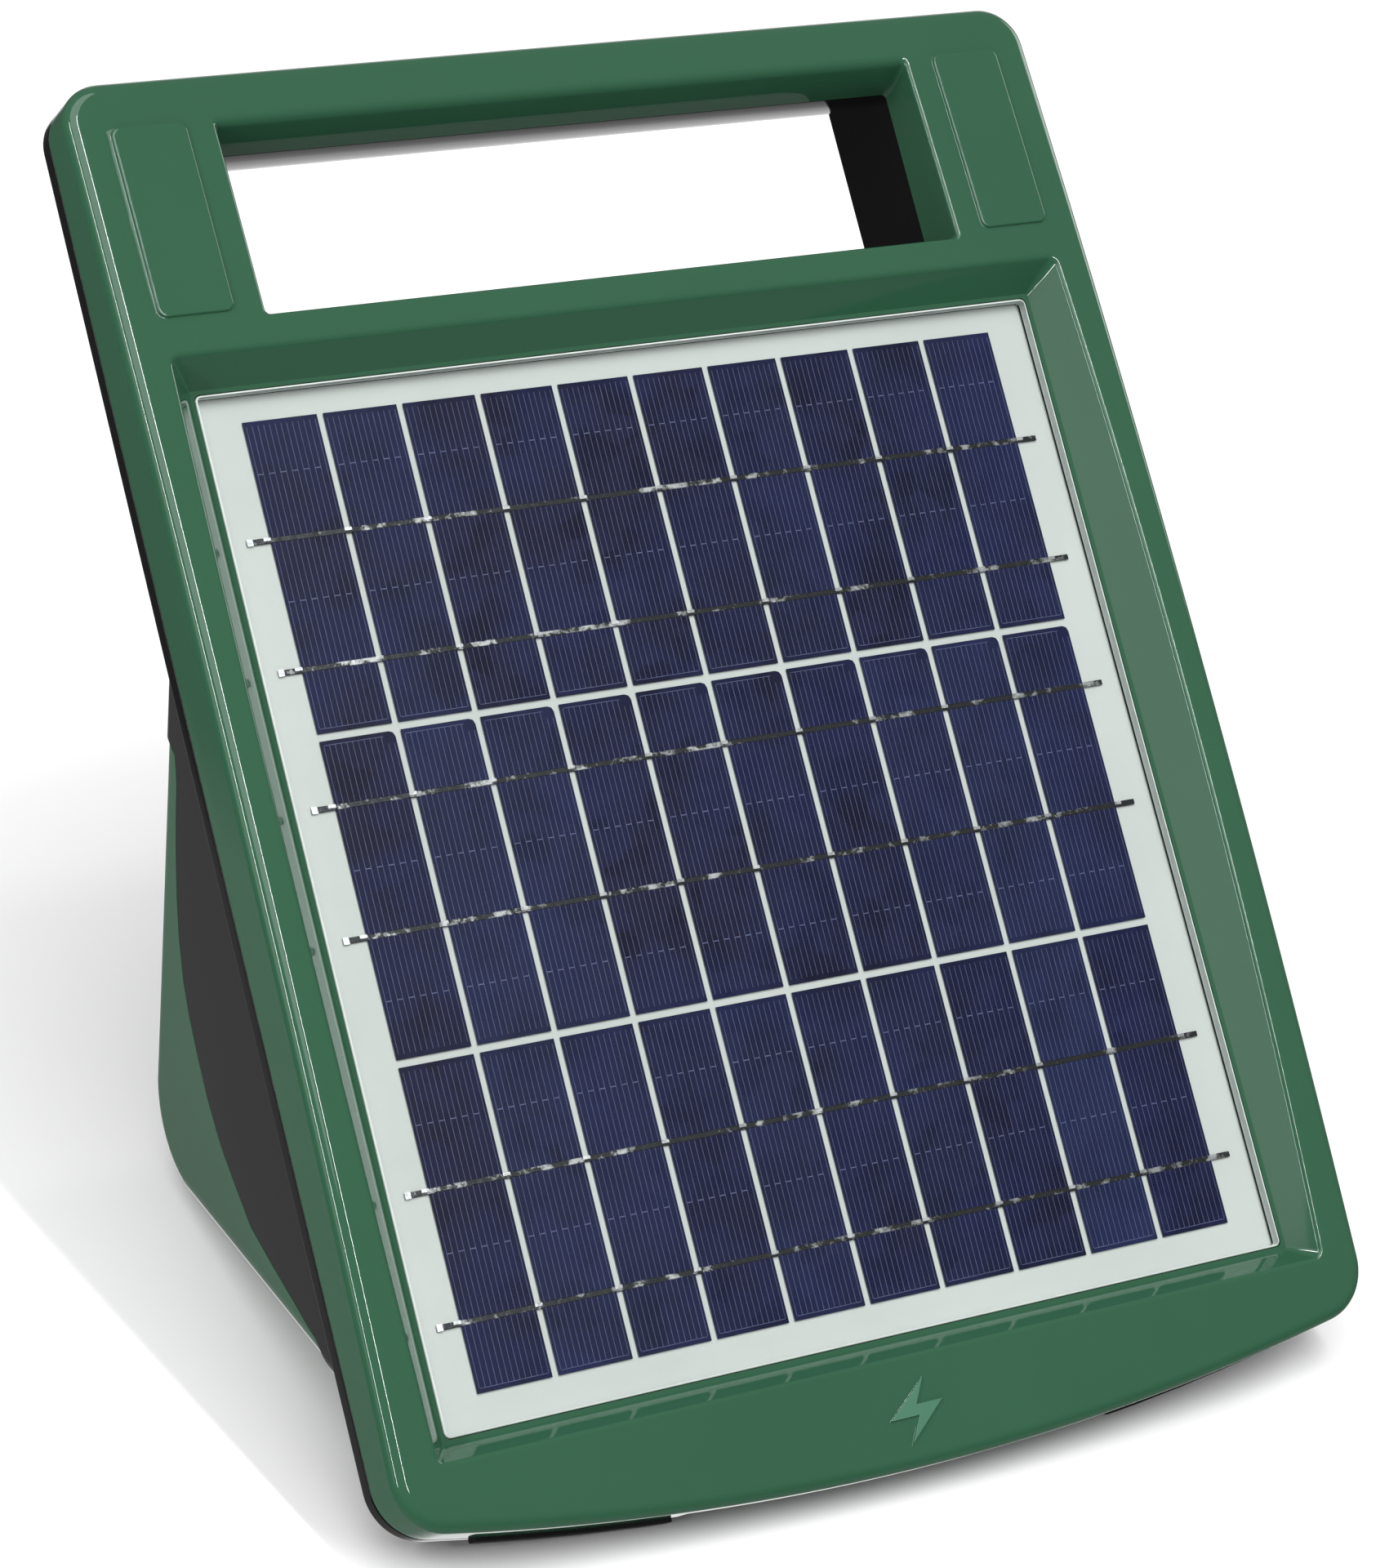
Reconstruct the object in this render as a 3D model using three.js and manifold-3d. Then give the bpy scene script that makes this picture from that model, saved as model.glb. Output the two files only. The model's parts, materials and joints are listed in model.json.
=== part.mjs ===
// Portable solar fence energizer: a leaning front frame with a solar panel and a
// carrying handle, a dark rear shell, and a lift-off rear cover over the battery.
// Millimetres, +Z up, front towards -Y. Everything is laid out in the panel frame
// (u to the right, v up the panel, n out of the panel) inside one tilted group.
import * as THREE from 'three';
import { mergeVertices } from 'three/addons/utils/BufferGeometryUtils.js';
import Module from 'manifold-3d';

const wasm = await Module();
wasm.setup();

// ---------------------------------------------------------------- dimensions
const LEAN = THREE.MathUtils.degToRad(46.5);   // lean back from upright
const S = Math.sin(LEAN), K = Math.cos(LEAN);
const HALF_W = 134.9, TOP_V = 205, BOTTOM_V = -159.7, BOTTOM_R = 691;
const R_TOP = 11, R_BOTTOM = 14;
const CROWN = 13.8, CROWN_K = 1.76e-4, CROWN_V = 15;
const WALL = 3, SHELL_WALL = 2.5;
const FRAME_BACK = -5.2, FLANGE_FRONT = -5.5, FLANGE_BACK = -10.5;
const BODY_BACK = -36;                         // back of the shell's upper body
const GLASS_U = 117, GLASS_V0 = -127.6, GLASS_V1 = 126, GLASS_N0 = 0.3, GLASS_N1 = 2.9;
const CELL_W = 19.51, CELL_H = 78, CELL_PITCH = 21.225, ROW_PITCH = 79.88, RIBBON = 1.4;
const OPEN_U = 97, OPEN_V0 = 142;              // handle opening
const UPPER_U = 123;                           // half width of the shell's upper body
const SIDE_U = 131, DRAFT = 0.072;             // drafted side planes of the rear housing
const ARC_V = -30.6, ARC_N = -93, ARC_R = 25;  // rear lower corner of the housing
const BOTTOM_SLOPE = 1.415;                    // slope of the housing's bottom wall
const PARTITION_N = -16, PARTITION_T = 2.5;
const GAP = 0.4;
const FLOOR_Z = -115.7;                        // floor below the panel centre
const ORIGIN_X = -7.8;
const ORIGIN_Y = -24.4745;                       // puts the box's middle over the origin
const PULL = [0, S, -K];                       // straight back, in the panel frame
const UP = [0, K, S];
const SCREWS_TOP = [[-115.5, 168], [115.5, 168]];
const SCREWS_BOTTOM = [[-104, -142.6], [-38, -147], [38, -147], [104, -142.6]];
const CONTROL_N = -33, SWITCH_V = 12, FENCE_V = -25, EARTH_V = -61, BOSS_U = 131.2;
const LED_V = 35, LED_N = -21;
const BATTERY = { u: 89, v0: -60, v1: 6, n0: -53.9, n1: -18.9 };
const COVER_SCREW_U = 100;

// ---------------------------------------------------------------- helpers
const panel = new THREE.Group();
panel.rotation.x = Math.PI / 2 - LEAN;
panel.position.set(ORIGIN_X, ORIGIN_Y, -FLOOR_Z);

function solid(g) {
  let c = g.index ? g.toNonIndexed() : g.clone();
  c.deleteAttribute('normal');
  c.deleteAttribute('uv');
  c = mergeVertices(c, 1e-4);
  return new wasm.Manifold(new wasm.Mesh({
    numProp: 3,
    vertProperties: new Float32Array(c.attributes.position.array),
    triVerts: new Uint32Array(c.index.array),
  }));
}

function geometryOf(m) {
  const mesh = m.getMesh();
  const g = new THREE.BufferGeometry();
  const n = mesh.numProp, src = mesh.vertProperties, count = src.length / n;
  const pos = new Float32Array(count * 3);
  for (let i = 0; i < count; i++) for (let k = 0; k < 3; k++) pos[3 * i + k] = src[n * i + k];
  g.setAttribute('position', new THREE.BufferAttribute(pos, 3));
  g.setIndex(new THREE.BufferAttribute(new Uint32Array(mesh.triVerts), 1));
  g.computeVertexNormals();
  return g;
}

function add(name, shape, color, roughness = 0.4, metalness = 0) {
  const g = shape instanceof THREE.BufferGeometry ? shape : geometryOf(shape);
  const mesh = new THREE.Mesh(g, new THREE.MeshStandardMaterial({ color, roughness, metalness }));
  mesh.name = name;
  panel.add(mesh);
  return mesh;
}

const shapeOf = (pts) => new THREE.Shape(pts.map(([x, y]) => new THREE.Vector2(x, y)));

// outline in (u, v), extruded along n
function alongN(pts, n0, n1) {
  const g = new THREE.ExtrudeGeometry(shapeOf(pts), { depth: n1 - n0, bevelEnabled: false });
  g.translate(0, 0, n0);
  return g;
}
// outline in (v, n), extruded along u
function alongU(pts, u0, u1) {
  const g = new THREE.ExtrudeGeometry(shapeOf(pts), { depth: u1 - u0, bevelEnabled: false });
  g.translate(0, 0, u0);
  g.applyMatrix4(new THREE.Matrix4().makeBasis(
    new THREE.Vector3(0, 1, 0), new THREE.Vector3(0, 0, 1), new THREE.Vector3(1, 0, 0)));
  return g;
}
// outline in (u, n), extruded along v
function alongV(pts, v0, v1) {
  const g = new THREE.ExtrudeGeometry(shapeOf(pts), { depth: v1 - v0, bevelEnabled: false });
  g.translate(0, 0, -v1);
  g.applyMatrix4(new THREE.Matrix4().makeBasis(
    new THREE.Vector3(1, 0, 0), new THREE.Vector3(0, 0, 1), new THREE.Vector3(0, -1, 0)));
  return g;
}
function box(u0, u1, v0, v1, n0, n1) {
  const g = new THREE.BoxGeometry(u1 - u0, v1 - v0, n1 - n0);
  g.translate((u0 + u1) / 2, (v0 + v1) / 2, (n0 + n1) / 2);
  return g;
}
const boxS = (...a) => solid(box(...a));

const vec = (a) => new THREE.Vector3(a[0], a[1], a[2]);
function placeAlong(g, p, dir) {
  const q = new THREE.Quaternion().setFromUnitVectors(new THREE.Vector3(0, 1, 0), vec(dir).normalize());
  g.applyQuaternion(q);
  g.translate(p[0], p[1], p[2]);
  return g;
}
// cylinder from point p along dir, starting at s0 and ending at s1
function rod(p, dir, s0, s1, r, seg = 20) {
  const g = new THREE.CylinderGeometry(r, r, s1 - s0, seg);
  g.translate(0, (s0 + s1) / 2, 0);
  return placeAlong(g, p, dir);
}
const rodS = (...a) => solid(rod(...a));
// turned piece: profile of [radius, distance along dir] from axis to axis
function turned(p, dir, profile, seg = 20) {
  const g = new THREE.LatheGeometry(profile.map(([r, s]) => new THREE.Vector2(r, s)), seg);
  return placeAlong(g, p, dir);
}
const turnedS = (...a) => solid(turned(...a));

function arc(cx, cy, r, a0, a1, n) {
  const out = [];
  for (let i = 0; i <= n; i++) {
    const a = a0 + (a1 - a0) * i / n;
    out.push([cx + r * Math.cos(a), cy + r * Math.sin(a)]);
  }
  return out;
}
// outer outline of the front frame, moved inwards by d
function outline(d) {
  const w = HALF_W - d, top = TOP_V - d, rb = Math.max(R_BOTTOM - d, 1.5), rt = Math.max(R_TOP - d, 1.5);
  const R = BOTTOM_R - d, cy = BOTTOM_V + BOTTOM_R;
  const fu = w - rb, fv = cy - Math.sqrt((R - rb) ** 2 - fu ** 2);
  const a = Math.atan2(fv - cy, fu);
  const left = Math.PI - (a + 2 * Math.PI);    // mirror image of a
  const pts = [];
  pts.push(...arc(0, cy, R, -Math.PI - a, a, 18).slice(0, -1));
  pts.push(...arc(fu, fv, rb, a, 0, 6));
  pts.push(...arc(w - rt, top - rt, rt, 0, Math.PI / 2, 5));
  pts.push(...arc(-w + rt, top - rt, rt, Math.PI / 2, Math.PI, 5));
  pts.push(...arc(-fu, fv, rb, Math.PI, Math.PI * 2 + left, 6).slice(0, -1));
  return pts;
}
const crownN = (v) => CROWN - CROWN_K * (v - CROWN_V) ** 2;
function underCrown(dn) {
  const pts = [[-190, -60], [230, -60]];
  for (let v = 230; v >= -190; v -= 20) pts.push([v, crownN(v) + dn]);
  return solid(alongU(pts, -200, 200));
}
const offsetSide = (d, n) => SIDE_U - d + DRAFT * (n + 10);
function drafted(d) {
  return solid(alongV([
    [-offsetSide(d, -150), -150], [offsetSide(d, -150), -150],
    [offsetSide(d, 12), 12], [-offsetSide(d, 12), 12]], -170, 230));
}
// polyline moved sideways by d, to the right of its direction
function shifted(pts, d) {
  const normals = pts.slice(1).map((p, i) => {
    const a = pts[i], l = Math.hypot(p[0] - a[0], p[1] - a[1]);
    return [(p[1] - a[1]) / l, (a[0] - p[0]) / l];
  });
  return pts.map((p, i) => {
    const n1 = normals[Math.max(i - 1, 0)], n2 = normals[Math.min(i, normals.length - 1)];
    const m = [n1[0] + n2[0], n1[1] + n2[1]];
    const k = 2 * d / (m[0] ** 2 + m[1] ** 2);
    return [p[0] + m[0] * k, p[1] + m[1] * k];
  });
}
const toPanel = (y, z) => [y * S + z * K, -y * K + z * S];   // world y, z about the panel centre

// ---------------------------------------------------------------- colours
const GREEN = 0x2f7a55, DARK = 0x1b1b1d, GRAPHITE = 0x3b3b3f, RUBBER = 0x141414, STEEL = 0xb4b6b8;
const BRASS = 0xb08d4a, RED = 0xb01c16, WHITE = 0xd0d7d3, CELL = 0x1d2350, BOARD = 0x1c5a34;

// ---------------------------------------------------------------- front frame
const outer0 = solid(alongN(outline(0), FRAME_BACK, 24));
let frame = outer0.intersect(underCrown(0));
const padOutline = (s) => [[s * 105, 143.5], [s * 124.5, 143.5], [s * 124.5, 192.5], [s * 105, 192.5]];
const padSolid = (s) => solid(box(Math.min(s * 105, s * 124.5), Math.max(s * 105, s * 124.5), 143.5, 192.5, 5, 20));
frame = frame.add(padSolid(1).intersect(underCrown(0.8))).add(padSolid(-1).intersect(underCrown(0.8)));
// plain bolt emblem, raised on the lower rail
const bolt = [[-6.5, -1.2], [0.6, -1.2], [-2.4, -7.2], [7.2, 1.4], [0.6, 1.4], [3.4, 7]].map(([x, y]) => [x * 1.1, y * 1.05 - 146.4]);
frame = frame.add(solid(alongN(bolt, 3, 20)).intersect(underCrown(0.6)));

let hollow = solid(alongN(outline(WALL), FRAME_BACK - 1, 24)).intersect(underCrown(-WALL));
hollow = hollow.subtract(boxS(-128.3, 128.3, -136, 136.8, -4.5, 24));
hollow = hollow.subtract(boxS(-100, 100, 139.6, 194.7, -20, 24));
for (const [u, v] of [...SCREWS_TOP, ...SCREWS_BOTTOM]) hollow = hollow.subtract(rodS([u, v, 0], [0, 0, 1], -8, 20, 4.2, 16));
frame = frame.subtract(hollow);
// tunnel of the handle opening
frame = frame.subtract(solid(alongU([[142.4, -10], [187.7, -10], [187.7, -5.2], [188.7, 0], [190.4, 5], [192, 9.5], [192, 24], [142, 24], [142, 5]], -OPEN_U, OPEN_U)));
// sloping pocket, seat of the panel and window behind it
frame = frame.subtract(
  solid(alongU([[-128.9, 2.9], [127.2, 2.9], [143.5, 23], [-141.4, 23]], -140, 140))
    .intersect(solid(alongV([[-118.2, 2.9], [118.2, 2.9], [132.7, 23], [-132.7, 23]], -150, 150))));
frame = frame.subtract(boxS(-118, 118, -128.7, 127, -2, 3.2));
frame = frame.subtract(boxS(-103, 103, -113, 111, -9, 0));
// the middle of the lower wall is cut back, so the frame stands on its two ends
frame = frame.subtract(boxS(-61, 61, -170, -151.5, -9, 1));
for (const [u, v] of [...SCREWS_TOP, ...SCREWS_BOTTOM]) frame = frame.subtract(rodS([u, v, 0], [0, 0, 1], -8, 4, 1.9, 12));
add('front_frame', frame, GREEN, 0.25);

// ---------------------------------------------------------------- solar panel
add('solar_glass', box(-GLASS_U, GLASS_U, GLASS_V0, GLASS_V1, GLASS_N0, GLASS_N1), 0xe6eef0, 0.05);
const ribbonRows = [[0.38, 0.796], [0.207, 0.617], [0.381, 0.785]];
['top', 'middle', 'bottom'].forEach((label, r) => {
  const mid = (1 - r) * ROW_PITCH, hi = mid + CELL_H / 2;
  let s = null;
  for (let c = 0; c < 10; c++) {
    const x = (c - 4.5) * CELL_PITCH;
    const b = boxS(x - CELL_W / 2, x + CELL_W / 2, mid - CELL_H / 2, mid + CELL_H / 2, -0.22, -0.02);
    s = s ? s.add(b) : b;
  }
  for (const f of ribbonRows[r]) s = s.add(boxS(-111, 111, hi - f * CELL_H - RIBBON / 2, hi - f * CELL_H + RIBBON / 2, -0.27, 0.02));
  add('cell_string_' + label, s, CELL, 0.3);
});
add('solar_backsheet', box(-116.6, 116.6, -127.2, 125.6, -0.95, -0.6), WHITE, 0.5);
{
  const ring = new THREE.Shape([[-116.4, -127], [116.4, -127], [116.4, 125.4], [-116.4, 125.4]].map((p) => new THREE.Vector2(...p)));
  ring.holes.push(new THREE.Path([[-105, -115], [-105, 113], [105, 113], [105, -115]].map((p) => new THREE.Vector2(...p))));
  const g = new THREE.ExtrudeGeometry(ring, { depth: 0.45, bevelEnabled: false });
  g.translate(0, 0, -1.7);
  add('panel_adhesive', g, 0x202022, 0.7);
}
add('junction_box', solid(alongN([[-62, 66], [-18, 66], [-16, 68], [-16, 98], [-18, 100], [-62, 100], [-64, 98], [-64, 68]], -12.5, -1.3)), DARK, 0.5);

// ---------------------------------------------------------------- rear shell
const BOTTOM_REACH = 179.6;                    // the bottom wall's line reaches n = -179.6 at v = 0
const bottomLine = (n) => (-BOTTOM_REACH - n) / BOTTOM_SLOPE;
const PARTING = [
  [bottomLine(-23.4), -23.4], [-96.5, -28.8], [-87.4, -37], [-75.5, -48.1], [-64.2, -58], [-53.2, -62.6], [-42.3, -66.6],
  [-31, -68.3], [-21.4, -68.2], [-10, -67.3], [-1.1, -65.2], [8, -61], [17.4, -55], [26, -48.2], [34.7, -40.6], [41, -34.4], [47.5, -30.2], [57, BODY_BACK]];
let shell = solid(alongN(outline(0), FLANGE_BACK, FLANGE_FRONT));
const bodyPts = [[bottomLine(-10), -10], ...PARTING, [202, BODY_BACK], [202, -10]];
shell = shell.add(solid(alongU(bodyPts, -140, 140)).intersect(drafted(0)).intersect(solid(alongN(outline(4), -140, -8))));
// above the housing the shell is narrower than the flange; the housing's back wall plane ends the wide part
const planeN = (v) => -36.6 + (v - 57.4) * S / K;
const beside = (poly, u0) => solid(alongU(poly, u0, 150)).add(solid(alongU(poly, -150, -u0)));
shell = shell.subtract(beside([[57, -45], [57, planeN(57)], [57.4 + 26.1 * K / S, FLANGE_BACK], [215, FLANGE_BACK], [215, -45]], UPPER_U));
// inside, open to the front
let inside = solid(alongU([[-115.6, -4], [-112.6, PARTITION_N], [43.4, PARTITION_N], [60.6, -33.5], [197.4, -33.5], [197.4, -4]], -140, 140))
  .intersect(drafted(2.8)).intersect(solid(alongN(outline(7), -140, 0)));
inside = inside.subtract(solid(alongU([[139.6, 0], [140.6, -40], [210, -40], [210, 0]], -100.4, 100.4)));
inside = inside.subtract(beside([[50, -46], [50, planeN(50) + 4.07], [78.2, planeN(78.2) + 4.07], [78.2, 1], [215, 1], [215, -46]], UPPER_U - 2.8));
for (const [u, v] of SCREWS_TOP) inside = inside.subtract(rodS([u, v, 0], [0, 0, 1], -40, 0, 6.2, 16));
const STANDOFFS = [[-90, 68], [90, 68], [-90, 131], [90, 131]];
for (const [u, v] of STANDOFFS) inside = inside.subtract(rodS([u, v, 0], [0, 0, 1], -40, -31.3, 3.4, 12));
shell = shell.subtract(inside);
// tunnel and the hollow of the handle's rear half
shell = shell.subtract(solid(alongU([[142.5, 0], [143.4, -50], [198, -50], [198, -36], [195, -32], [191, -26], [188.6, -19], [187.7, -12], [188.1, 0]], -OPEN_U - 0.6, OPEN_U + 0.6)));
shell = shell.subtract(solid(alongU([[190.9, 0], [190.6, -12], [191.4, -18], [193.6, -24], [196.4, -28.4], [198.4, -29.4], [198.4, 0]], -95, 95)));
// battery side of the partition, leaving the two side cheeks and the lower lip
const PN = PARTITION_N - PARTITION_T;
const lip = (n) => bottomLine(n) + 3.06;
shell = shell.subtract(solid(alongU([[lip(PN), PN], [lip(-32), -32], [lip(-32), -150], [150, -150], [150, -123.1], [57.4, -36.4], [38.2, PN]], -140, 140)).intersect(drafted(SHELL_WALL)));
// slots for the cover's tabs and holes for the leads
shell = shell.subtract(boxS(48, 72, -113, -103, -20, -14)).subtract(boxS(-72, -48, -113, -103, -20, -14));
shell = shell.subtract(rodS([-40, 24, -17], [0, 0, 1], -4, 4, 6, 16)).subtract(rodS([110, 22, -17], [0, 0, 1], -4, 4, 6, 16));
// battery ledges on the partition
for (const s of [-1, 1]) {
  shell = shell.add(boxS(Math.min(s * 30, s * 76), Math.max(s * 30, s * 76), -63.2, -60.6, -38, PN + 0.5));
  shell = shell.add(boxS(Math.min(s * 50, s * 76), Math.max(s * 50, s * 76), 6.6, 9, -30, PN + 0.5));
}
// posts for the cover's two screws
const backY = -(ARC_N * K) + ARC_V * S + ARC_R;          // the vertical back wall, about the panel centre
const SCREW_Z = 6;
const [screwV, screwN] = toPanel(backY, SCREW_Z);
for (const s of [-1, 1]) {
  const p = [s * COVER_SCREW_U, screwV, screwN], fwd = [0, -S, K];
  shell = shell.add(rodS(p, fwd, 8, 34, 4.5, 16));
  shell = shell.subtract(rodS(p, fwd, 7, 24, 1.9, 12));
}
// wells and holes for the frame screws
for (const [u, v] of SCREWS_TOP) shell = shell.subtract(rodS([u, v, 0], [0, 0, 1], -50, -12, 4.2, 16)).subtract(rodS([u, v, 0], [0, 0, 1], -13, 0, 1.9, 12));
for (const [u, v] of SCREWS_BOTTOM) shell = shell.subtract(rodS([u, v, 0], [0, 0, 1], -20, 0, 1.9, 12));
// flat bosses for the controls on the right cheek
for (const [v, r] of [[SWITCH_V, 14], [FENCE_V, 12.5], [EARTH_V, 12.5]]) {
  shell = shell.add(rodS([0, v, CONTROL_N], [1, 0, 0], 127.4, BOSS_U, r, 28));
  shell = shell.subtract(rodS([0, v, CONTROL_N], [1, 0, 0], 110, 140, 3.4, 16));
}
shell = shell.subtract(rodS([0, LED_V, LED_N], [1, 0, 0], 110, 140, 3.2, 14));
// seal groove, foot recesses and the cut-back middle of the lower edge
shell = shell.subtract(solid(alongN(outline(1.6), -7.2, 0)).subtract(solid(alongN(outline(3.1), -9, 1))));
const footZone = (s) => boxS(Math.min(s * 61.6, s * 112.4), Math.max(s * 61.6, s * 112.4), -170, -140, -20, -5.0);
for (const s of [-1, 1]) shell = shell.subtract(footZone(s).subtract(solid(alongN(outline(1.45), -30, 5))));
shell = shell.subtract(boxS(-61.6, 61.6, -170, -152.5, -20, 0));
// board pillars take their screws
for (const [u, v] of STANDOFFS) shell = shell.subtract(rodS([u, v, 0], [0, 0, 1], -33, 0, 1.4, 10));
for (const v of [16.5, -71.5]) shell = shell.subtract(rodS([0, v, 0], [0, 0, 1], -30, 0, 2.1, 12));
add('rear_shell', shell, DARK, 0.25);

// seal between frame and shell
{
  let ring = solid(alongN(outline(1.9), -6.9, -5.45)).subtract(solid(alongN(outline(2.8), -9, 1)));
  ring = ring.subtract(boxS(-62, 62, -170, -150.5, -20, 5));
  add('shell_seal', ring, RUBBER, 0.8);
}

// ---------------------------------------------------------------- rear cover
function housingPts(d) {
  // outer profile in (v, n) moved inwards by d; open side towards +n
  const nb = [S, -K];                                    // outward normal of the back wall
  const up = [K, S];
  const r = ARC_R - d;
  const bl = Math.hypot(BOTTOM_SLOPE, 1);
  const nbot = [-BOTTOM_SLOPE / bl, -1 / bl];            // outward normal of the bottom wall
  const a1 = Math.atan2(nb[1], nb[0]), a0 = Math.atan2(nbot[1], nbot[0]);
  const pts = arc(ARC_V, ARC_N, r, a0, a1, 12);
  const t0 = pts[0], t1 = pts[pts.length - 1];
  const dirB = [-1 / bl, BOTTOM_SLOPE / bl];
  return [[t0[0] + dirB[0] * 140, t0[1] + dirB[1] * 140], ...pts, [t1[0] + up[0] * 130, t1[1] + up[1] * 130]];
}
function housing(d) {
  const p = housingPts(d);
  return solid(alongU([...p, [p[p.length - 1][0], 60], [p[0][0], 60]], -140, 140)).intersect(drafted(d));
}
const cut = shifted(PARTING, GAP);
const c0 = cut[0], c1 = cut[cut.length - 1];
const darkZone = solid(alongU([[-160, c0[1]], ...cut, [c1[0], -80], [160, -80], [160, 80], [-160, 80]], -150, 150));
let cover = housing(0).subtract(housing(SHELL_WALL)).subtract(darkZone);
// locating tabs that enter the slots of the partition
{
  const at = (s, z) => [c0[0] - S * s + K * z, c0[1] + K * s + S * z];
  const tab = [at(-12, -0.4), at(-4.6, 0.9), at(-4.6, 4.5), at(6, 4.5), at(6, 6.5), at(-12, 6.5)];
  for (const s of [-1, 1]) cover = cover.add(solid(alongU([...tab].reverse(), s * 60 - 9, s * 60 + 9)));
}
for (const s of [-1, 1]) {
  const p = [s * COVER_SCREW_U, screwV, screwN], fwd = [0, -S, K];
  cover = cover.add(rodS(p, fwd, 0.2, 6.6, 6.2, 18));
  cover = cover.subtract(rodS(p, fwd, -4, 3.2, 5, 18)).subtract(rodS(p, fwd, 0, 12, 2.2, 12));
}
add('rear_cover', cover, GREEN, 0.25);
for (const [s, side] of [[-1, 'left'], [1, 'right']]) {
  const p = [s * COVER_SCREW_U, screwV, screwN], fwd = [0, -S, K];
  add('cover_screw_' + side, turnedS(p, fwd, [[0, 0.4], [4.4, 0.4], [4.4, 2.9], [1.5, 2.9], [1.5, 21], [0, 21]], 16), STEEL, 0.3, 1);
}

// ---------------------------------------------------------------- feet
for (const [s, side] of [[-1, 'left'], [1, 'right']]) {
  let f = solid(alongN(outline(-1), -10.2, -5.9)).subtract(solid(alongN(outline(1.15), -30, 5)));
  f = f.intersect(boxS(Math.min(s * 62, s * 112), Math.max(s * 62, s * 112), -175, -140, -30, 5));
  const [a, b, c, d] = [toPanel(-300, FLOOR_Z), toPanel(-300, FLOOR_Z - 60), toPanel(300, FLOOR_Z - 60), toPanel(300, FLOOR_Z)];
  f = f.subtract(solid(alongU([a, b, c, d], -200, 200)));
  add('front_foot_' + side, f, RUBBER, 0.9);
  const q = [toPanel(34, FLOOR_Z), toPanel(50, FLOOR_Z), toPanel(50, FLOOR_Z + 4.5), toPanel(34, FLOOR_Z + 4.5)];
  const u0 = Math.min(s * 68, s * 104), u1 = Math.max(s * 68, s * 104);
  add('rear_foot_' + side, solid(alongU(q, u0, u1)).subtract(housing(-0.3)), RUBBER, 0.9);
}

// ---------------------------------------------------------------- fasteners
SCREWS_TOP.forEach(([u, v], i) => add('shell_screw_' + (i + 1),
  turnedS([u, v, 0], [0, 0, 1], [[0, -15.2], [3.6, -15.2], [3.6, -12.4], [1.5, -12.4], [1.5, 3], [0, 3]], 14), STEEL, 0.3, 1));
SCREWS_BOTTOM.forEach(([u, v], i) => add('shell_screw_' + (i + 3),
  turnedS([u, v, 0], [0, 0, 1], [[0, -13.4], [3.6, -13.4], [3.6, -10.8], [1.5, -10.8], [1.5, 3], [0, 3]], 14), STEEL, 0.3, 1));

// ---------------------------------------------------------------- controls
function controlKnob(u0, r, h) {
  const n = 48, pts = [];
  for (let i = 0; i < n; i++) {
    const a = i / n * Math.PI * 2, rr = r - 0.9 + 0.9 * Math.cos(a * 8);
    pts.push([rr * Math.cos(a), rr * Math.sin(a)]);
  }
  return solid(alongU(pts, u0, u0 + h));
}
function terminal(label, v, colour) {
  const o = [0, v, CONTROL_N];
  let stud = turnedS(o, [1, 0, 0], [[0, 119], [3, 119], [3, 122], [5.6, 122], [5.6, 126.2], [3, 126.2], [3, 131.6], [7.4, 131.6], [7.4, 133], [3, 133], [3, 146], [0, 146]], 18);
  add(label + '_stud', stud, STEEL, 0.25, 1);
  const ring = rodS(o, [1, 0, 0], 133.4, 134.9, 8.6, 24).subtract(rodS(o, [1, 0, 0], 130, 140, 3.5, 16));
  add(label + '_clamp', ring, STEEL, 0.25, 1);
  let knob = controlKnob(135.3, 10, 15.2).translate([0, v, CONTROL_N]);
  knob = knob.subtract(rodS(o, [1, 0, 0], 130, 146.6, 3.5, 16));
  add(label + '_knob', knob, colour, 0.4);
}
terminal('fence_terminal', FENCE_V, RED);
terminal('earth_terminal', EARTH_V, 0x20242a);
{
  const o = [0, SWITCH_V, CONTROL_N];
  let knob = turnedS(o, [1, 0, 0], [[0, 115], [3, 115], [3, 131.6], [12.6, 131.6], [12.2, 135], [11.2, 136.6], [0, 136.6]], 28);
  knob = knob.add(boxS(136, 144, SWITCH_V - 11, SWITCH_V + 11, CONTROL_N - 3, CONTROL_N + 3).intersect(rodS(o, [1, 0, 0], 130, 150, 11.2, 28)));
  add('switch_knob', knob, DARK, 0.4);
  const body = boxS(112, 125.7, SWITCH_V - 10, SWITCH_V + 10, CONTROL_N - 10, CONTROL_N + 10).subtract(rodS(o, [1, 0, 0], 114, 130, 3.4, 16));
  add('switch_body', body, 0x2a2d33, 0.6);
  add('status_light', turnedS([0, LED_V, LED_N], [1, 0, 0], [[0, 123], [2.9, 123], [2.9, 130.8], [4, 130.8], [4, 131.8], [3.2, 133.2], [1.6, 134], [0, 134.2]], 14), 0xd84030, 0.2);
}

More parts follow.
